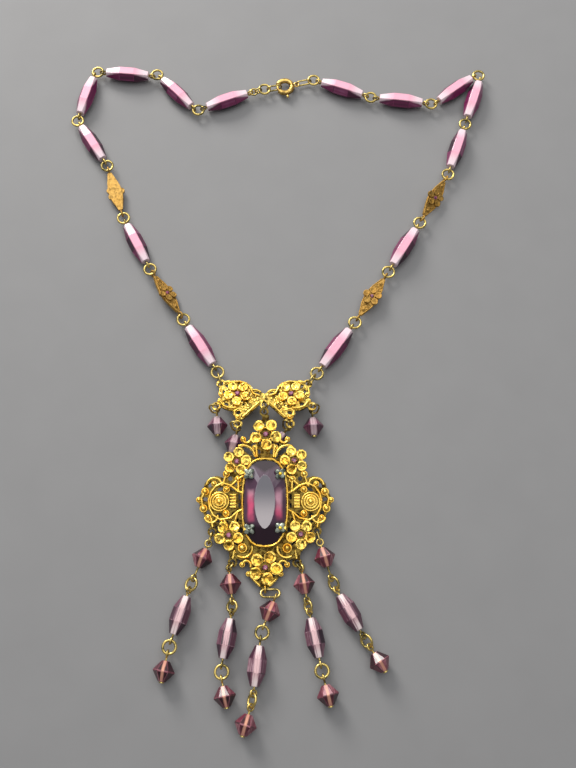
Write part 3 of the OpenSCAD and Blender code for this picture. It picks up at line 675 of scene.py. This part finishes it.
@dataclass
class BeadShape:
    """A six-sided cut bead along X: rows of (place along, radius at the corners)."""

    rows: Sequence[Point]
    polish: float = 0.12
    sides: int = 6

    @classmethod
    def long(cls, length: float, width: float, end: float, belly_share: float) -> "BeadShape":
        """The long bead, with a straight belly and tapering ends."""
        half, belly = length / 2, length * belly_share / 2
        return cls([(-half, end / 2), (-belly, width / 2), (belly, width / 2), (half, end / 2)])

    @classmethod
    def bicone(cls, length: float, width: float) -> "BeadShape":
        """The short bead, two six-sided pyramids on one waist."""
        return cls([(-length / 2, width * 0.18), (-0.15, width / 2), (0.15, width / 2), (length / 2, width * 0.18)])

    def mesh(self, seed: int) -> BMesh:
        """Builds the bead with polished edges, and its facet map."""
        bm = spun([(x, r, 0.0) for x, r in self.rows], (1, 0, 0), self.sides)
        ends = [e for e in bm.edges if e.is_boundary]
        bmesh.ops.holes_fill(bm, edges=ends, sides=0)
        bmesh.ops.recalc_face_normals(bm, faces=bm.faces[:])
        polished = bmesh.ops.bevel(bm, geom=bm.edges[:], offset=self.polish, offset_type="OFFSET", segments=1,
                                   profile=0.5, affect="EDGES", material=-1, clamp_overlap=True)
        self.map_facets(bm, set(polished["faces"]), seed)
        return bm

    def stand_for(self, node: str, place: Matrix, material: Material, seed: int) -> None:
        """Puts the bead in the place of its CAD node.

        Args:
            node: the node.
            place: the bead's frame, in millimetres.
            material: its glass.
            seed: picks the shades of its facets.
        """
        blank = Blank()
        blank.add(self.mesh(seed), Matrix())
        blank.finish(f"glass_{node}", place, material, Slot.BEADS, smooth=False, replaced=[node])

    def map_facets(self, bm: BMesh, edges: set, seed: int) -> None:
        """Writes place along and across the bead, each facet's shade, and which ones are polished edges."""
        chance = random.Random(seed)
        uv = bm.loops.layers.uv["facet"]
        polished = bm.faces.layers.float["polished"]
        tone = bm.faces.layers.float["tone"]
        half = self.rows[-1][0]
        for face in bm.faces:
            face[polished] = 1.0 if face in edges else 0.0
            face[tone] = chance.random()
            for loop in face.loops:
                loop[uv].uv = (loop.vert.co.x / half, loop.vert.co.y)


@dataclass
class NodeFrame:
    """Where a CAD node lies, found from its own mesh."""

    middle: Vector
    along: Vector
    points: np.ndarray

    @classmethod
    def of(cls, node: str) -> "NodeFrame":
        """Long axis, middle and points of a node, in millimetres."""
        mesh = bpy.data.objects[node].data
        points = np.empty(len(mesh.vertices) * 3)
        mesh.vertices.foreach_get("co", points)
        points = points.reshape(-1, 3) / MM
        spread = points - points.mean(0)
        _, turned = np.linalg.eigh(spread.T @ spread)
        middle = sum(axis * (np.dot(points, axis).max() + np.dot(points, axis).min()) / 2 for axis in turned.T)
        return cls(Vector(middle), Vector(turned[:, 2]).normalized(), points)

    def between_ends(self) -> Vector:
        """Middle between the outermost points at both ends."""
        run = self.points @ np.array(self.along)
        tips = [self.points[np.abs(run - end) < 0.2].mean(0) for end in (run.min(), run.max())]
        return Vector((tips[0] + tips[1]) / 2)

    def matrix(self, top: Vector) -> Matrix:
        """Frame with X along and Z towards top."""
        side = top.cross(self.along).normalized()
        top = self.along.cross(side).normalized()
        turned = Matrix((self.along, side, top)).transposed().to_4x4()
        return Matrix.Translation(self.middle) @ turned


@dataclass
class Chain:
    """Strings of long beads on eye pins and jump rings, with four small plaques."""

    bead_length: float = 15.6
    bead_width: float = 5.6
    bead_end: float = 3.3
    belly_share: float = 0.34
    plaque_length: float = 15.4
    flower_ring: float = 2.15
    petal: float = 1.15
    rope: float = 0.2
    relief_z: float = 0.42
    scrolls: Sequence[tuple] = ((3.4, 0.75, 0.5), (3.4, -0.85, 0.2), (4.6, -0.6, 0.5), (4.6, 0.6, 0.2))
    glass: BeadGlass = BeadGlass(
        name="chain_bead_glass", core=(0.8, 0.62, 0.68), core_middle=(0.82, 0.38, 0.5), column=1.42, lines=0.1,
        flank=(0.16, 0.015, 0.075),
    )
    gilt: Gilt = Gilt(
        name="plaque_gilt", lemon=(0.47, 0.29, 0.08), orange=(0.44, 0.25, 0.05), copper_share=0.1, scratches=0.2,
        crease_shade=0.35, roughness=0.6,
    )
    plaque_turns: Sequence[tuple] = (("l1", 108.5, 180), ("l2", 123, 35), ("r1", 60.5, 30), ("r2", 57.5, 0))

    def beads(self) -> None:
        """Makes the long beads."""
        material = self.glass.material()
        shape = BeadShape.long(self.bead_length, self.bead_width, self.bead_end, self.belly_share)
        for side in "lr":
            for i in range(1, 8):
                node = f"chain_bead_{side}{i}"
                shape.stand_for(node, NodeFrame.of(node).matrix(UP), material, i * 7 + ord(side))

    def plaques(self) -> None:
        """Adds petals, ropes and granules to the four chain plaques."""
        material = self.gilt.material()
        half = self.plaque_length / 2
        edge = [(-half + 0.4, 0.5), (-half / 2, 1.75), (-1.6, 2.15), (1.6, 2.15), (half / 2, 1.75), (half - 0.4, 0.5)]
        for label, turn, roll in self.plaque_turns:
            node = f"chain_plaque_{label}"
            coat(node, material)
            chance = random.Random(label)
            blank = Blank()
            for i in range(5):
                place = rotation(18 + 72 * i, "Z") @ shift(self.flower_ring, 0, 0.3)
                blank.add(petal(self.petal, 0.85, i), place, chance.random())
            for side in (1, -1):
                points = [Vector((x, side * y, self.relief_z)) for x, y in edge]
                blank.wire(points, self.rope, 0.4)
                for x, y, tone in self.scrolls:
                    blank.add(ring(0.5, 0.15), shift(side * x, y, self.relief_z), tone)
                blank.add(ball(0.5, 0.9), shift(side * 5.6, 0, 0.6), 0.1)
                blank.add(ring(0.62, 0.14), shift(side * 5.6, 0, 0.45), 0.1)
            place = Matrix.Translation(NodeFrame.of(node).between_ends()) @ rotation(turn, "Z") @ rotation(roll, "X")
            blank.finish(f"relief_{node}", place, material, Slot.GILT)


def petal(radius: float, height: float, seed: int = 0) -> BMesh:
    """A round petal, uneven from wear: a shallow dish with an uneven rim and a crease.

    Args:
        radius: its radius.
        height: height of its rim.
        seed: picks its unevenness.

    Returns:
        The petal, standing on the plane.
    """
    chance = random.Random(seed)
    profile = [(0, height * 0.84), (radius * 0.35, height * 0.85), (radius * 0.62, height * 0.9),
               (radius * 0.8, height * 0.985), (radius * 0.9, height), (radius * 0.98, height * 0.9),
               (radius, height * 0.6), (radius * 0.95, 0)]
    bm = revolved(profile, 18)
    lobes, phase, crease = chance.choice((2, 3)), chance.uniform(0, 6), chance.uniform(0, math.pi)
    for vert in bm.verts:
        angle = math.atan2(vert.co.y, vert.co.x)
        out = 1 + 0.055 * math.sin(lobes * angle + phase) + 0.02 * math.sin(5 * angle + phase * 2)
        vert.co.x *= out
        vert.co.y *= out
        if vert.co.z > height * 0.5:
            off = vert.co.x * math.sin(crease) - vert.co.y * math.cos(crease)
            vert.co.z -= 0.1 * height * math.exp(-((off / (radius * 0.16)) ** 2))
            vert.co.z += 0.05 * height * math.sin(3 * angle + phase)
    return bm


@dataclass
class Relief:
    """Petals, and wires and granules, that lie on an openwork plate."""

    wire: float = 0.36
    blank: Blank = field(default_factory=Blank)
    petals: Blank = field(default_factory=Blank)
    seed: int = 5

    def __post_init__(self) -> None:
        """Starts the run of chances."""
        self.chance = random.Random(self.seed)

    def flower(self, row: Sequence[float], z: float, height: float) -> None:
        """Five petals round a middle.

        Args:
            row: x, y, ring radius, first angle and petal radius.
            z: height of the plate.
            height: height of the petals.
        """
        x, y, around, first, radius = row
        for i in range(5):
            turn = first + 72 * i
            tilt = rotation(self.chance.uniform(-9, 9), "X") @ rotation(self.chance.uniform(-2, 10), "Y")
            place = shift(x, y, z) @ rotation(turn, "Z") @ shift(around, 0) @ tilt
            self.petals.add(petal(radius * 1.03, height, i + int(9 * abs(x))), place, self.chance.random())
        self.blank.add(ring(around - radius * 0.72, 0.2), shift(x, y, z + 0.75), 0.9)

    def run(self, points: Sequence[Point], z: float, mirror: bool = True, wire: float | None = None) -> None:
        """Round wire along a run of points, on both halves."""
        for side in (1, -1) if mirror else (1,):
            self.blank.wire([Vector((side * x, y, z)) for x, y in points], wire or self.wire, 0.25)

    def granule(self, x: float, y: float, z: float, radius: float) -> None:
        """A ball in a small round cup, on both halves."""
        for side in (1, -1):
            self.blank.add(ball(radius * 0.62, 0.9), shift(side * x, y, z + radius * 0.3), self.chance.random() * 0.3)
            self.blank.add(ring(radius * 0.8, radius * 0.2), shift(side * x, y, z), self.chance.random() * 0.6)

    def finish(self, name: str, frame: Matrix) -> None:
        """Makes the scratched petals, with much painted shade in their creases, one piece, and the smoother wires and
        granules another.
        """
        self.petals.finish(f"{name}_petals", frame, Gilt(name=f"{name}_petal_gilt").material(), Slot.GILT)
        wires = Gilt(name=f"{name}_wire_gilt", crease_shade=0.2, scratches=0.2, roughness=0.24)
        self.blank.finish(f"{name}_relief", frame, wires.material(), Slot.GILT)


@dataclass
class Pendant:
    """The openwork filigree pendant with its flowers, coils and cut stone."""

    lean: float = 6.5
    pivot: float = -29.3
    plate: float = 0.9
    petal_height: float = 1.25
    stone_width: float = 13.2
    stone_length: float = 26.2
    seat: float = 0.5
    girdle: float = 2.9
    crown: float = 1.6
    flowers: Sequence[tuple] = (
        (0.1, 21.5, 3.3, 130, 1.75), (-8.9, 12.9, 2.9, 152, 1.6), (9.1, 13.2, 2.9, 109, 1.6),
        (-11.1, -10, 3, 127, 1.65), (11.1, -9.7, 3, 126, 1.65), (0.2, -19.8, 3.4, 138, 1.9),
    )
    arcs: Sequence[tuple] = (
        (15.9, 5.3, 2.4, 180, 10), (16.7, -4.1, 2.1, 180, 340), (7.1, 14.1, 3.9, 72, 175),
        (5.9, 20.1, 1.3, -170, 0), (6.7, -13.9, 2.9, 170, 300), (5.6, -19.1, 1.35, 5, 200),
    )
    runs: Sequence[Sequence[Point]] = (
        ((7.2, 3), (8.6, 3.6), (10.9, 5.4), (13.2, 6.1), (15.5, 5), (17, 3), (17.6, 0.6)),
        ((7.2, -2.2), (8.7, -2.9), (10.6, -4.7), (13.8, -5.3), (16, -3.9), (17.1, -2), (17.5, 0.2)),
        ((13.2, 5.6), (12.3, 8.6)), ((8.3, 3.4), (8.5, 7.3), (7, 8.2)), ((10.9, 5), (8.6, 7.2)),
        ((16.6, -5), (16.2, -7.4)), ((8.5, -3), (9.5, -6.3)), ((12.9, -5), (11.6, -7)),
        ((18.4, 4.4), (19.8, 1.2), (19.4, -1)), ((3.4, -23.4), (1.5, -25.2)), ((9.4, -14.8), (9.8, -17)),
        ((2.6, 14.4), (2.9, 18)),
    )
    cups: Sequence[tuple] = (
        (16, 5.9, 0.95), (18.7, 3.4, 1.3), (20.6, 0.9, 0.9), (19.1, -1.8, 1.3), (17.6, -4.6, 1),
        (12.1, 4.1, 1.15), (12.1, -3.3, 1.15), (12.2, 8.9, 1.15), (8.5, 7.3, 1.15), (7, 19.9, 0.9),
        (3.2, 17.4, 0.9), (6.9, -18.9, 0.9), (5, -21.7, 0.8), (6.9, -13.9, 1.6),
    )
    loops: Sequence[Point] = ((-16.3, -8.9), (-9.9, -18.2), (9.9, -18.2), (16.1, -8.7), (-0.5, 28.9))
    coil: Point = (14.2, 0.3)
    coil_radius: float = 2.95
    bar: Point = (9.95, 0.5)
    prongs: Sequence[tuple] = ((-4.9, 8.6), (4.8, 8.6), (-4.7, -8.3), (4.8, -8))
    prong_z: float = 4.5
    wire_z: float = 1.5
    bar_z: float = 1.42
    cup_z: float = 1.15
    loop_z: float = 0.45
    rim_z: float = 3.72

    @property
    def frame(self) -> Matrix:
        """The leaning frame of the pendant, in millimetres."""
        pivot = shift(0, self.pivot)
        return Matrix.Translation(STONE_AT) @ pivot @ rotation(self.lean, "X") @ pivot.inverted()

    def plate_finish(self) -> None:
        """Gives the solid filigree its finish, with painted shade on the low parts of the plate and painted dark holes
        in its openwork.
        """
        gilt = Gilt(name="filigree_gilt", frame=seen_from(self.frame), floor=1.0, top=1.75)
        coat("pendant_filigree", gilt.material())

    def relief(self) -> None:
        """Petals, wires, coils and granules."""
        work = Relief()
        for row in self.flowers:
            work.flower(row, self.plate - 0.15, self.petal_height)
        for row in self.arcs:
            for side in (1, -1):
                steps = max(6, int(abs(row[4] - row[3]) / 14))
                work.run([(side * x, y) for x, y in arc_points(row, steps)], self.wire_z, mirror=False)
        for points in self.runs:
            work.run(points, self.wire_z)
        for x, y, radius in self.cups:
            work.granule(x, y, self.cup_z, radius)
        for x, y in self.loops:
            work.blank.add(ring(1.15, 0.31), shift(x, y, self.loop_z), 0.5)
        self.coils(work)
        self.gallery(work)
        work.finish("filigree", self.frame)

    def coils(self, work: Relief) -> None:
        """Coiled rosettes and the ribbed bars beside them."""
        for side in (1, -1):
            x, y = side * self.coil[0], self.coil[1]
            for i in range(3):
                radius = self.coil_radius * (1 - i * 0.27)
                work.blank.add(ring(radius - 0.12, 0.3), shift(x, y, 1.45 + i * 0.28), 0.0)
            work.blank.add(ball(0.8, 0.9), shift(x, y, 2.15), 0.0)
            for k in range(5):
                y = self.bar[1] - 1.9 + k * 0.95
                ends = [Vector((side * self.bar[0] + reach, y, self.bar_z)) for reach in (-0.75, 0.75)]
                work.blank.wire(ends, 0.32, 0.1)

    def gallery(self, work: Relief) -> None:
        """Beaded rim of the wall round the stone."""
        rim = oblong(self.stone_width + 0.75, self.stone_length + 0.75, 2.7, 56)
        work.blank.wire([Vector((x, y, self.rim_z)) for x, y in rim], 0.26, 0.55, closed=True)

    def leaves(self) -> None:
        """Tarnished four-leaved prongs over the stone."""
        blank = Blank()
        chance = random.Random(11)
        for x, y in self.prongs:
            for i in range(4):
                tilt = rotation(chance.uniform(4, 14), "Y")
                leaf = ball(0.92, 0.3)
                bmesh.ops.scale(leaf, vec=(1.25, 0.9, 1), verts=leaf.verts[:])
                place = shift(x, y, self.prong_z + 0.3) @ rotation(45 + 90 * i + chance.uniform(-8, 8), "Z")
                blank.add(leaf, place @ shift(0.85, 0) @ tilt, chance.random() * 0.8)
            blank.add(ball(0.55, 0.8), shift(x, y, self.prong_z + 0.6), 1.0 if x > 0 else 0.3)
        blank.finish("prong_leaves", self.frame, OldLeaf("tarnished_leaf").material(), Slot.GILT)

    def stone(self) -> None:
        """The cut stone: keel, girdle, crown facets and pointed table."""
        bm = Blank.fresh()
        count = 24
        rings = [
            (0.34, 0.6, 2.0, self.seat), (0.84, 0.9, 2.4, self.seat + 1.5), (1, 1, 2.7, self.seat + self.girdle - 0.4),
            (1, 1, 2.7, self.seat + self.girdle), (0.5, 0.64, 1.85, self.seat + self.girdle + self.crown),
        ]
        made = bmesh.ops.create_circle(bm, cap_ends=True, segments=count, radius=1)
        level = made["verts"]
        self.set_level(level, rings[0])
        edges = [e for e in bm.edges if e.is_boundary]
        for row in rings[1:]:
            out = bmesh.ops.extrude_edge_only(bm, edges=edges)["geom"]
            level = [v for v in out if isinstance(v, BMVert)]
            edges = [e for e in out if isinstance(e, BMEdge) and e.is_boundary]
            self.set_level(level, row)
        bmesh.ops.holes_fill(bm, edges=edges, sides=0)
        bmesh.ops.recalc_face_normals(bm, faces=bm.faces[:])
        top = max(bm.faces, key=lambda f: f.calc_center_median().z)
        table = bm.faces.layers.float["table"]
        tone = bm.faces.layers.float["tone"]
        chance = random.Random(4)
        for face in sorted(bm.faces, key=self.facet_order):
            middle = face.calc_center_median()
            face[tone] = chance.uniform(0.05, 0.6)
            # These crown facets near the far end get the painted highlight.
            if middle.z > self.seat + self.girdle and 6.5 < middle.y < 9.5 and 0.5 < abs(middle.x) < 3.2:
                face[tone] = 1.0
        bezel = bmesh.ops.inset_region(bm, faces=[top], thickness=0.16, depth=0.0, use_even_offset=True)
        # Tone 0.9 gives the bezel much of the painted lilac reflection.
        for face in bezel["faces"]:
            face[tone] = 0.9
        for vert in top.verts:
            vert.co.z += 0.12
        top[table] = 1.0
        blank = Blank()
        blank.add(bm, Matrix())
        material = CutStone("dark_amethyst", seen_from(self.frame)).material()
        blank.finish("cut_centre_stone", self.frame, material, Slot.STONE, smooth=False, replaced=["centre_stone"])

    @staticmethod
    def facet_order(face: BMFace) -> tuple[float, float]:
        """Height and angle of a facet, a fixed order, because the operators number the facets anew in each run."""
        middle = face.calc_center_median()
        return round(middle.z, 3), round(math.atan2(middle.y, middle.x), 3)

    def set_level(self, verts: Iterable[BMVert], row: tuple) -> None:
        """Moves one ring of vertices to its outline and height.

        Args:
            verts: the ring.
            row: share of the width, share of the length, squareness and height.
        """
        wide, long, power, z = row
        ordered = sorted(verts, key=lambda v: (math.atan2(v.co.y, v.co.x) + 0.01) % FULL_TURN)
        points = oblong(self.stone_width * wide, self.stone_length * long, power, len(ordered))
        for vert, (x, y) in zip(ordered, points):
            vert.co = (x, y, z)


@dataclass
class Yoke:
    """The two soldered front plaques above the pendant."""

    at: Vector = field(default_factory=lambda: STONE_AT + Vector((-0.5, 33.8, 4.5)))
    lean: float = -10.0
    plate: float = 0.9
    flower: tuple = (8.7, 1.0, 2.85, 130, 1.5)
    runs: Sequence[Sequence[Point]] = (
        ((1.6, 0.4), (3.6, 1.2), (4.7, 3.5), (6.2, 4.9), (8, 5.6), (10.8, 5.4), (12.8, 5.3)),
        ((14.3, -1.4), (13, -3.3), (10.8, -4.2), (9.1, -3.9)),
        ((1.8, -2.2), (6.7, -7.2)),
    )
    rims: Sequence[Sequence[Point]] = (
        ((1.2, 1.9), (2.4, 2.6), (3.7, 2.6)), ((14.3, 3.2), (14.5, 1.4), (14.1, 0)),
        ((6.4, -4.9), (7.2, -4.3), (8.6, -4.3), (9.5, -5.2), (9.3, -6.6)),
    )
    knobs: Sequence[tuple] = ((14, 0.9, 0.8), (8.2, -7.2, 0.85), (14.3, -1.4, 0.75), (11.6, 5.3, 0.8))
    loops: Sequence[Point] = ((14.1, 5), (15.3, -3.2), (8.3, -9.5))
    middle_loop: Point = (0, -2.6)
    run_z: float = 1.25
    rim_z: float = 0.95
    cup_z: float = 1.05
    loop_z: float = 0.45
    leaf_count: int = 16

    @property
    def frame(self) -> Matrix:
        """The leaning frame of the yoke, in millimetres."""
        return Matrix.Translation(self.at) @ rotation(self.lean, "X")

    def dress(self) -> None:
        """Finish of the plate, and the relief on it."""
        # The low parts of the plate get painted shade and painted dark holes.
        gilt = Gilt(name="yoke_gilt", frame=seen_from(self.frame), floor=0.85, top=1.35, depth=0.5)
        coat("front_yoke", gilt.material())
        work = Relief(seed=9, wire=0.33)
        chance = random.Random(21)
        for side in (1, -1):
            x, y, around, first, radius = self.flower
            for i in range(5):
                turn = first + 72 * i
                centre = shift(x, y, self.plate - 0.12) @ rotation(turn, "Z") @ shift(around, 0)
                flip = Matrix.Scale(side, 4, (1, 0, 0))
                work.petals.add(petal(radius * 1.03, 1.15, i + side + 3), flip @ centre, chance.random())
            for x, y in self.loops:
                work.blank.add(ring(1.14, 0.3), shift(side * x, y, self.loop_z), 0.4)
        work.blank.add(ring(1.14, 0.3), shift(*self.middle_loop, self.loop_z), 0.4)
        for points in self.runs:
            work.run(points, self.run_z)
        for points in self.rims:
            work.run(points, self.rim_z, wire=0.3)
        for x, y, radius in self.knobs:
            work.granule(x, y, self.cup_z, radius)
        self.leafwork(work, chance)
        work.finish("yoke", self.frame)

    def leafwork(self, work: Relief, chance: random.Random) -> None:
        """Small chased leaves in the field along the slanting edge."""
        for side in (1, -1):
            for k in range(self.leaf_count):
                along = k / (self.leaf_count - 1)
                x = 2.6 + 4.6 * along + chance.uniform(-0.2, 0.7)
                y = -1.2 - 4.4 * along + chance.uniform(0.1, 1.7)
                bead = ball(0.5, 0.6)
                bmesh.ops.scale(bead, vec=(1.3, 0.6, 1), verts=bead.verts[:])
                place = shift(side * x, y, self.plate) @ rotation(chance.uniform(0, 180), "Z")
                work.blank.add(bead, place, chance.random() * 0.5)


@dataclass
class Bicones:
    """Short cut beads of the drops and of the yoke, and the long beads of the drops."""

    length: float = 6.0
    width: float = 6.7
    front_widths: Sequence[float] = (6.7, 6.1, 6.1, 6.7)
    long_length: float = 11.7
    drop_headings: Sequence[tuple] = ((-112, -100), (-83, -78), (-112, -106), (-80, -76), (-73, -58))
    front_headings: Sequence[float] = (-86, -103, -127, -86)
    # The lighter colours given for the facets' glints are painted highlights.
    glass: BeadGlass = BeadGlass(
        name="bicone_glass", core=(0.6, 0.27, 0.2), core_middle=(0.66, 0.32, 0.22), column=0.42,
        dark=(0.022, 0.003, 0.008), flank=(0.15, 0.024, 0.045), painted_glint=(0.62, 0.27, 0.31), lines=0.4,
    )
    front_glass: BeadGlass = BeadGlass(
        name="front_bicone_glass", core=(0.55, 0.42, 0.44), core_middle=(0.5, 0.34, 0.38), column=0.95,
        flank=(0.12, 0.025, 0.06), painted_glint=(0.36, 0.16, 0.22), lines=0.7,
    )
    long_glass: BeadGlass = BeadGlass(
        name="long_drop_glass", core=(0.8, 0.66, 0.66), core_middle=(0.7, 0.45, 0.47), column=0.82,
        flank=(0.15, 0.05, 0.085), painted_glint=(0.55, 0.36, 0.41), lines=0.75,
    )

    def bead(self, node: str, turn: float, shape: BeadShape, material: Material, seed: int) -> None:
        """One bead in place of its CAD node.

        Args:
            node: the node.
            turn: heading of its hole in degrees.
            shape: its cut.
            material: its glass.
            seed: picks the shades of its facets.
        """
        low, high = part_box(node)
        middle = (Vector(low) + Vector(high)) / 2 / MM
        shape.stand_for(node, Matrix.Translation(middle) @ rotation(turn, "Z"), material, seed)

    def make(self) -> None:
        """All the short beads, and the long beads of the drops."""
        drop = self.glass.material()
        front = self.front_glass.material()
        long = self.long_glass.material()
        short_shape = BeadShape.bicone(self.length, self.width)
        long_shape = BeadShape.long(self.long_length, 5.6, 2.7, 0.34)
        for i, (first, last) in enumerate(self.drop_headings, 1):
            self.bead(f"drop_{i}_top", first, short_shape, drop, i)
            self.bead(f"drop_{i}_tip", last, short_shape, drop, i + 10)
            node = f"drop_{i}_long"
            long_shape.stand_for(node, NodeFrame.of(node).matrix(UP), long, i + 20)
        for i, (turn, width) in enumerate(zip(self.front_headings, self.front_widths), 1):
            self.bead(f"front_bead_{i}", turn, BeadShape.bicone(self.length, width), front, i + 30)


@dataclass
class Findings:
    """Pins, rings, links, the clasp and the small stones: the CAD solids with their finish."""

    wires: Sequence[str] = (
        "eye_pins_left", "eye_pins_right", "jump_rings_left", "jump_rings_right", "yoke_link",
        "front_bead_findings", "drop_1_findings", "drop_2_findings", "drop_3_findings", "drop_4_findings",
        "drop_5_findings",
    )
    clasp: Sequence[str] = ("clasp_ring", "clasp_lever")
    stones: Sequence[str] = ("flower_stones", "plaque_stones")

    def dress(self) -> None:
        """Gives each solid its finish."""
        finishes = (
            (self.wires, AgedWire("aged_wire_brass").material()),
            (self.clasp, AgedWire("clasp_brass", pale=(0.72, 0.48, 0.14), tarnish=(0.2, 0.12, 0.03)).material()),
            (self.stones, SmallStone("small_pink_stone").material()),
        )
        for nodes, material in finishes:
            for name in nodes:
                coat(name, material)


@dataclass
class Studio:
    """Floor, lights and camera at the photograph's angle.

    Each lamp is a row: name, place and edge in metres, watts and tint.
    """

    camera_at: Vector = field(default_factory=lambda: Vector((2.89, -103.04, 281.43)) * MM)
    pitch: float = 71.2
    focal_pixels: float = 900.0
    frame_height: float = 768.0
    film: float = 36.0
    lamps: Sequence[tuple] = (
        ("softbox", (0.0, 0.2, 0.6), 0.95, 4.6, (1.0, 0.99, 0.97)),
        ("key_light", (-0.45, 0.85, 0.5), 0.4, 12.0, (1.0, 0.97, 0.93)),
    )
    room_tint: tuple = (0.82, 0.84, 0.88, 1)
    room_light: float = 0.3

    def floor(self) -> None:
        """Lays the floor."""
        bm = bmesh.new()
        bmesh.ops.create_grid(bm, x_segments=1, y_segments=1, size=2.0)
        mesh = bpy.data.meshes.new("floor")
        bm.to_mesh(mesh)
        bm.free()
        mesh.materials.append(Floor().material())
        floor = bpy.data.objects.new("floor", mesh)
        bpy.context.collection.objects.link(floor)

    def light(self) -> None:
        """Hangs the soft square lamps, which aim at the necklace, in a dim room."""
        for name, place, size, power, tint in self.lamps:
            data = bpy.data.lights.new(name, "AREA")
            data.size = size
            data.energy = power
            data.color = tint
            lamp = bpy.data.objects.new(name, data)
            lamp.location = place
            lamp.rotation_euler = (-Vector(place)).to_track_quat("-Z", "Y").to_euler()
            bpy.context.collection.objects.link(lamp)
        world = bpy.data.worlds.new("studio")
        world.use_nodes = True
        background = world.node_tree.nodes["Background"]
        background.inputs["Color"].default_value = self.room_tint
        background.inputs["Strength"].default_value = self.room_light
        bpy.context.scene.world = world

    def camera(self) -> None:
        """Camera at the photograph's angle, with the plain view of colours that keeps the gold yellow."""
        data = bpy.data.cameras.new("camera")
        data.sensor_fit = "VERTICAL"
        data.sensor_height = self.film
        data.lens = self.focal_pixels / self.frame_height * self.film
        data.clip_start = 0.01
        camera = bpy.data.objects.new("camera", data)
        camera.location = self.camera_at
        camera.rotation_euler = (math.radians(90 - self.pitch), 0, 0)
        bpy.context.collection.objects.link(camera)
        bpy.context.scene.camera = camera
        bpy.context.scene.view_settings.view_transform = "Standard"


def main() -> None:
    """Builds the looks of the whole necklace."""
    logging.basicConfig(level=logging.INFO, format="%(message)s")
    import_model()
    studio = Studio()
    studio.floor()
    studio.light()
    studio.camera()
    Findings().dress()
    chain = Chain()
    chain.beads()
    chain.plaques()
    pendant = Pendant()
    pendant.plate_finish()
    pendant.relief()
    pendant.leaves()
    pendant.stone()
    Yoke().dress()
    Bicones().make()
    log.info("all pieces are made")


if __name__ == "__main__":
    main()
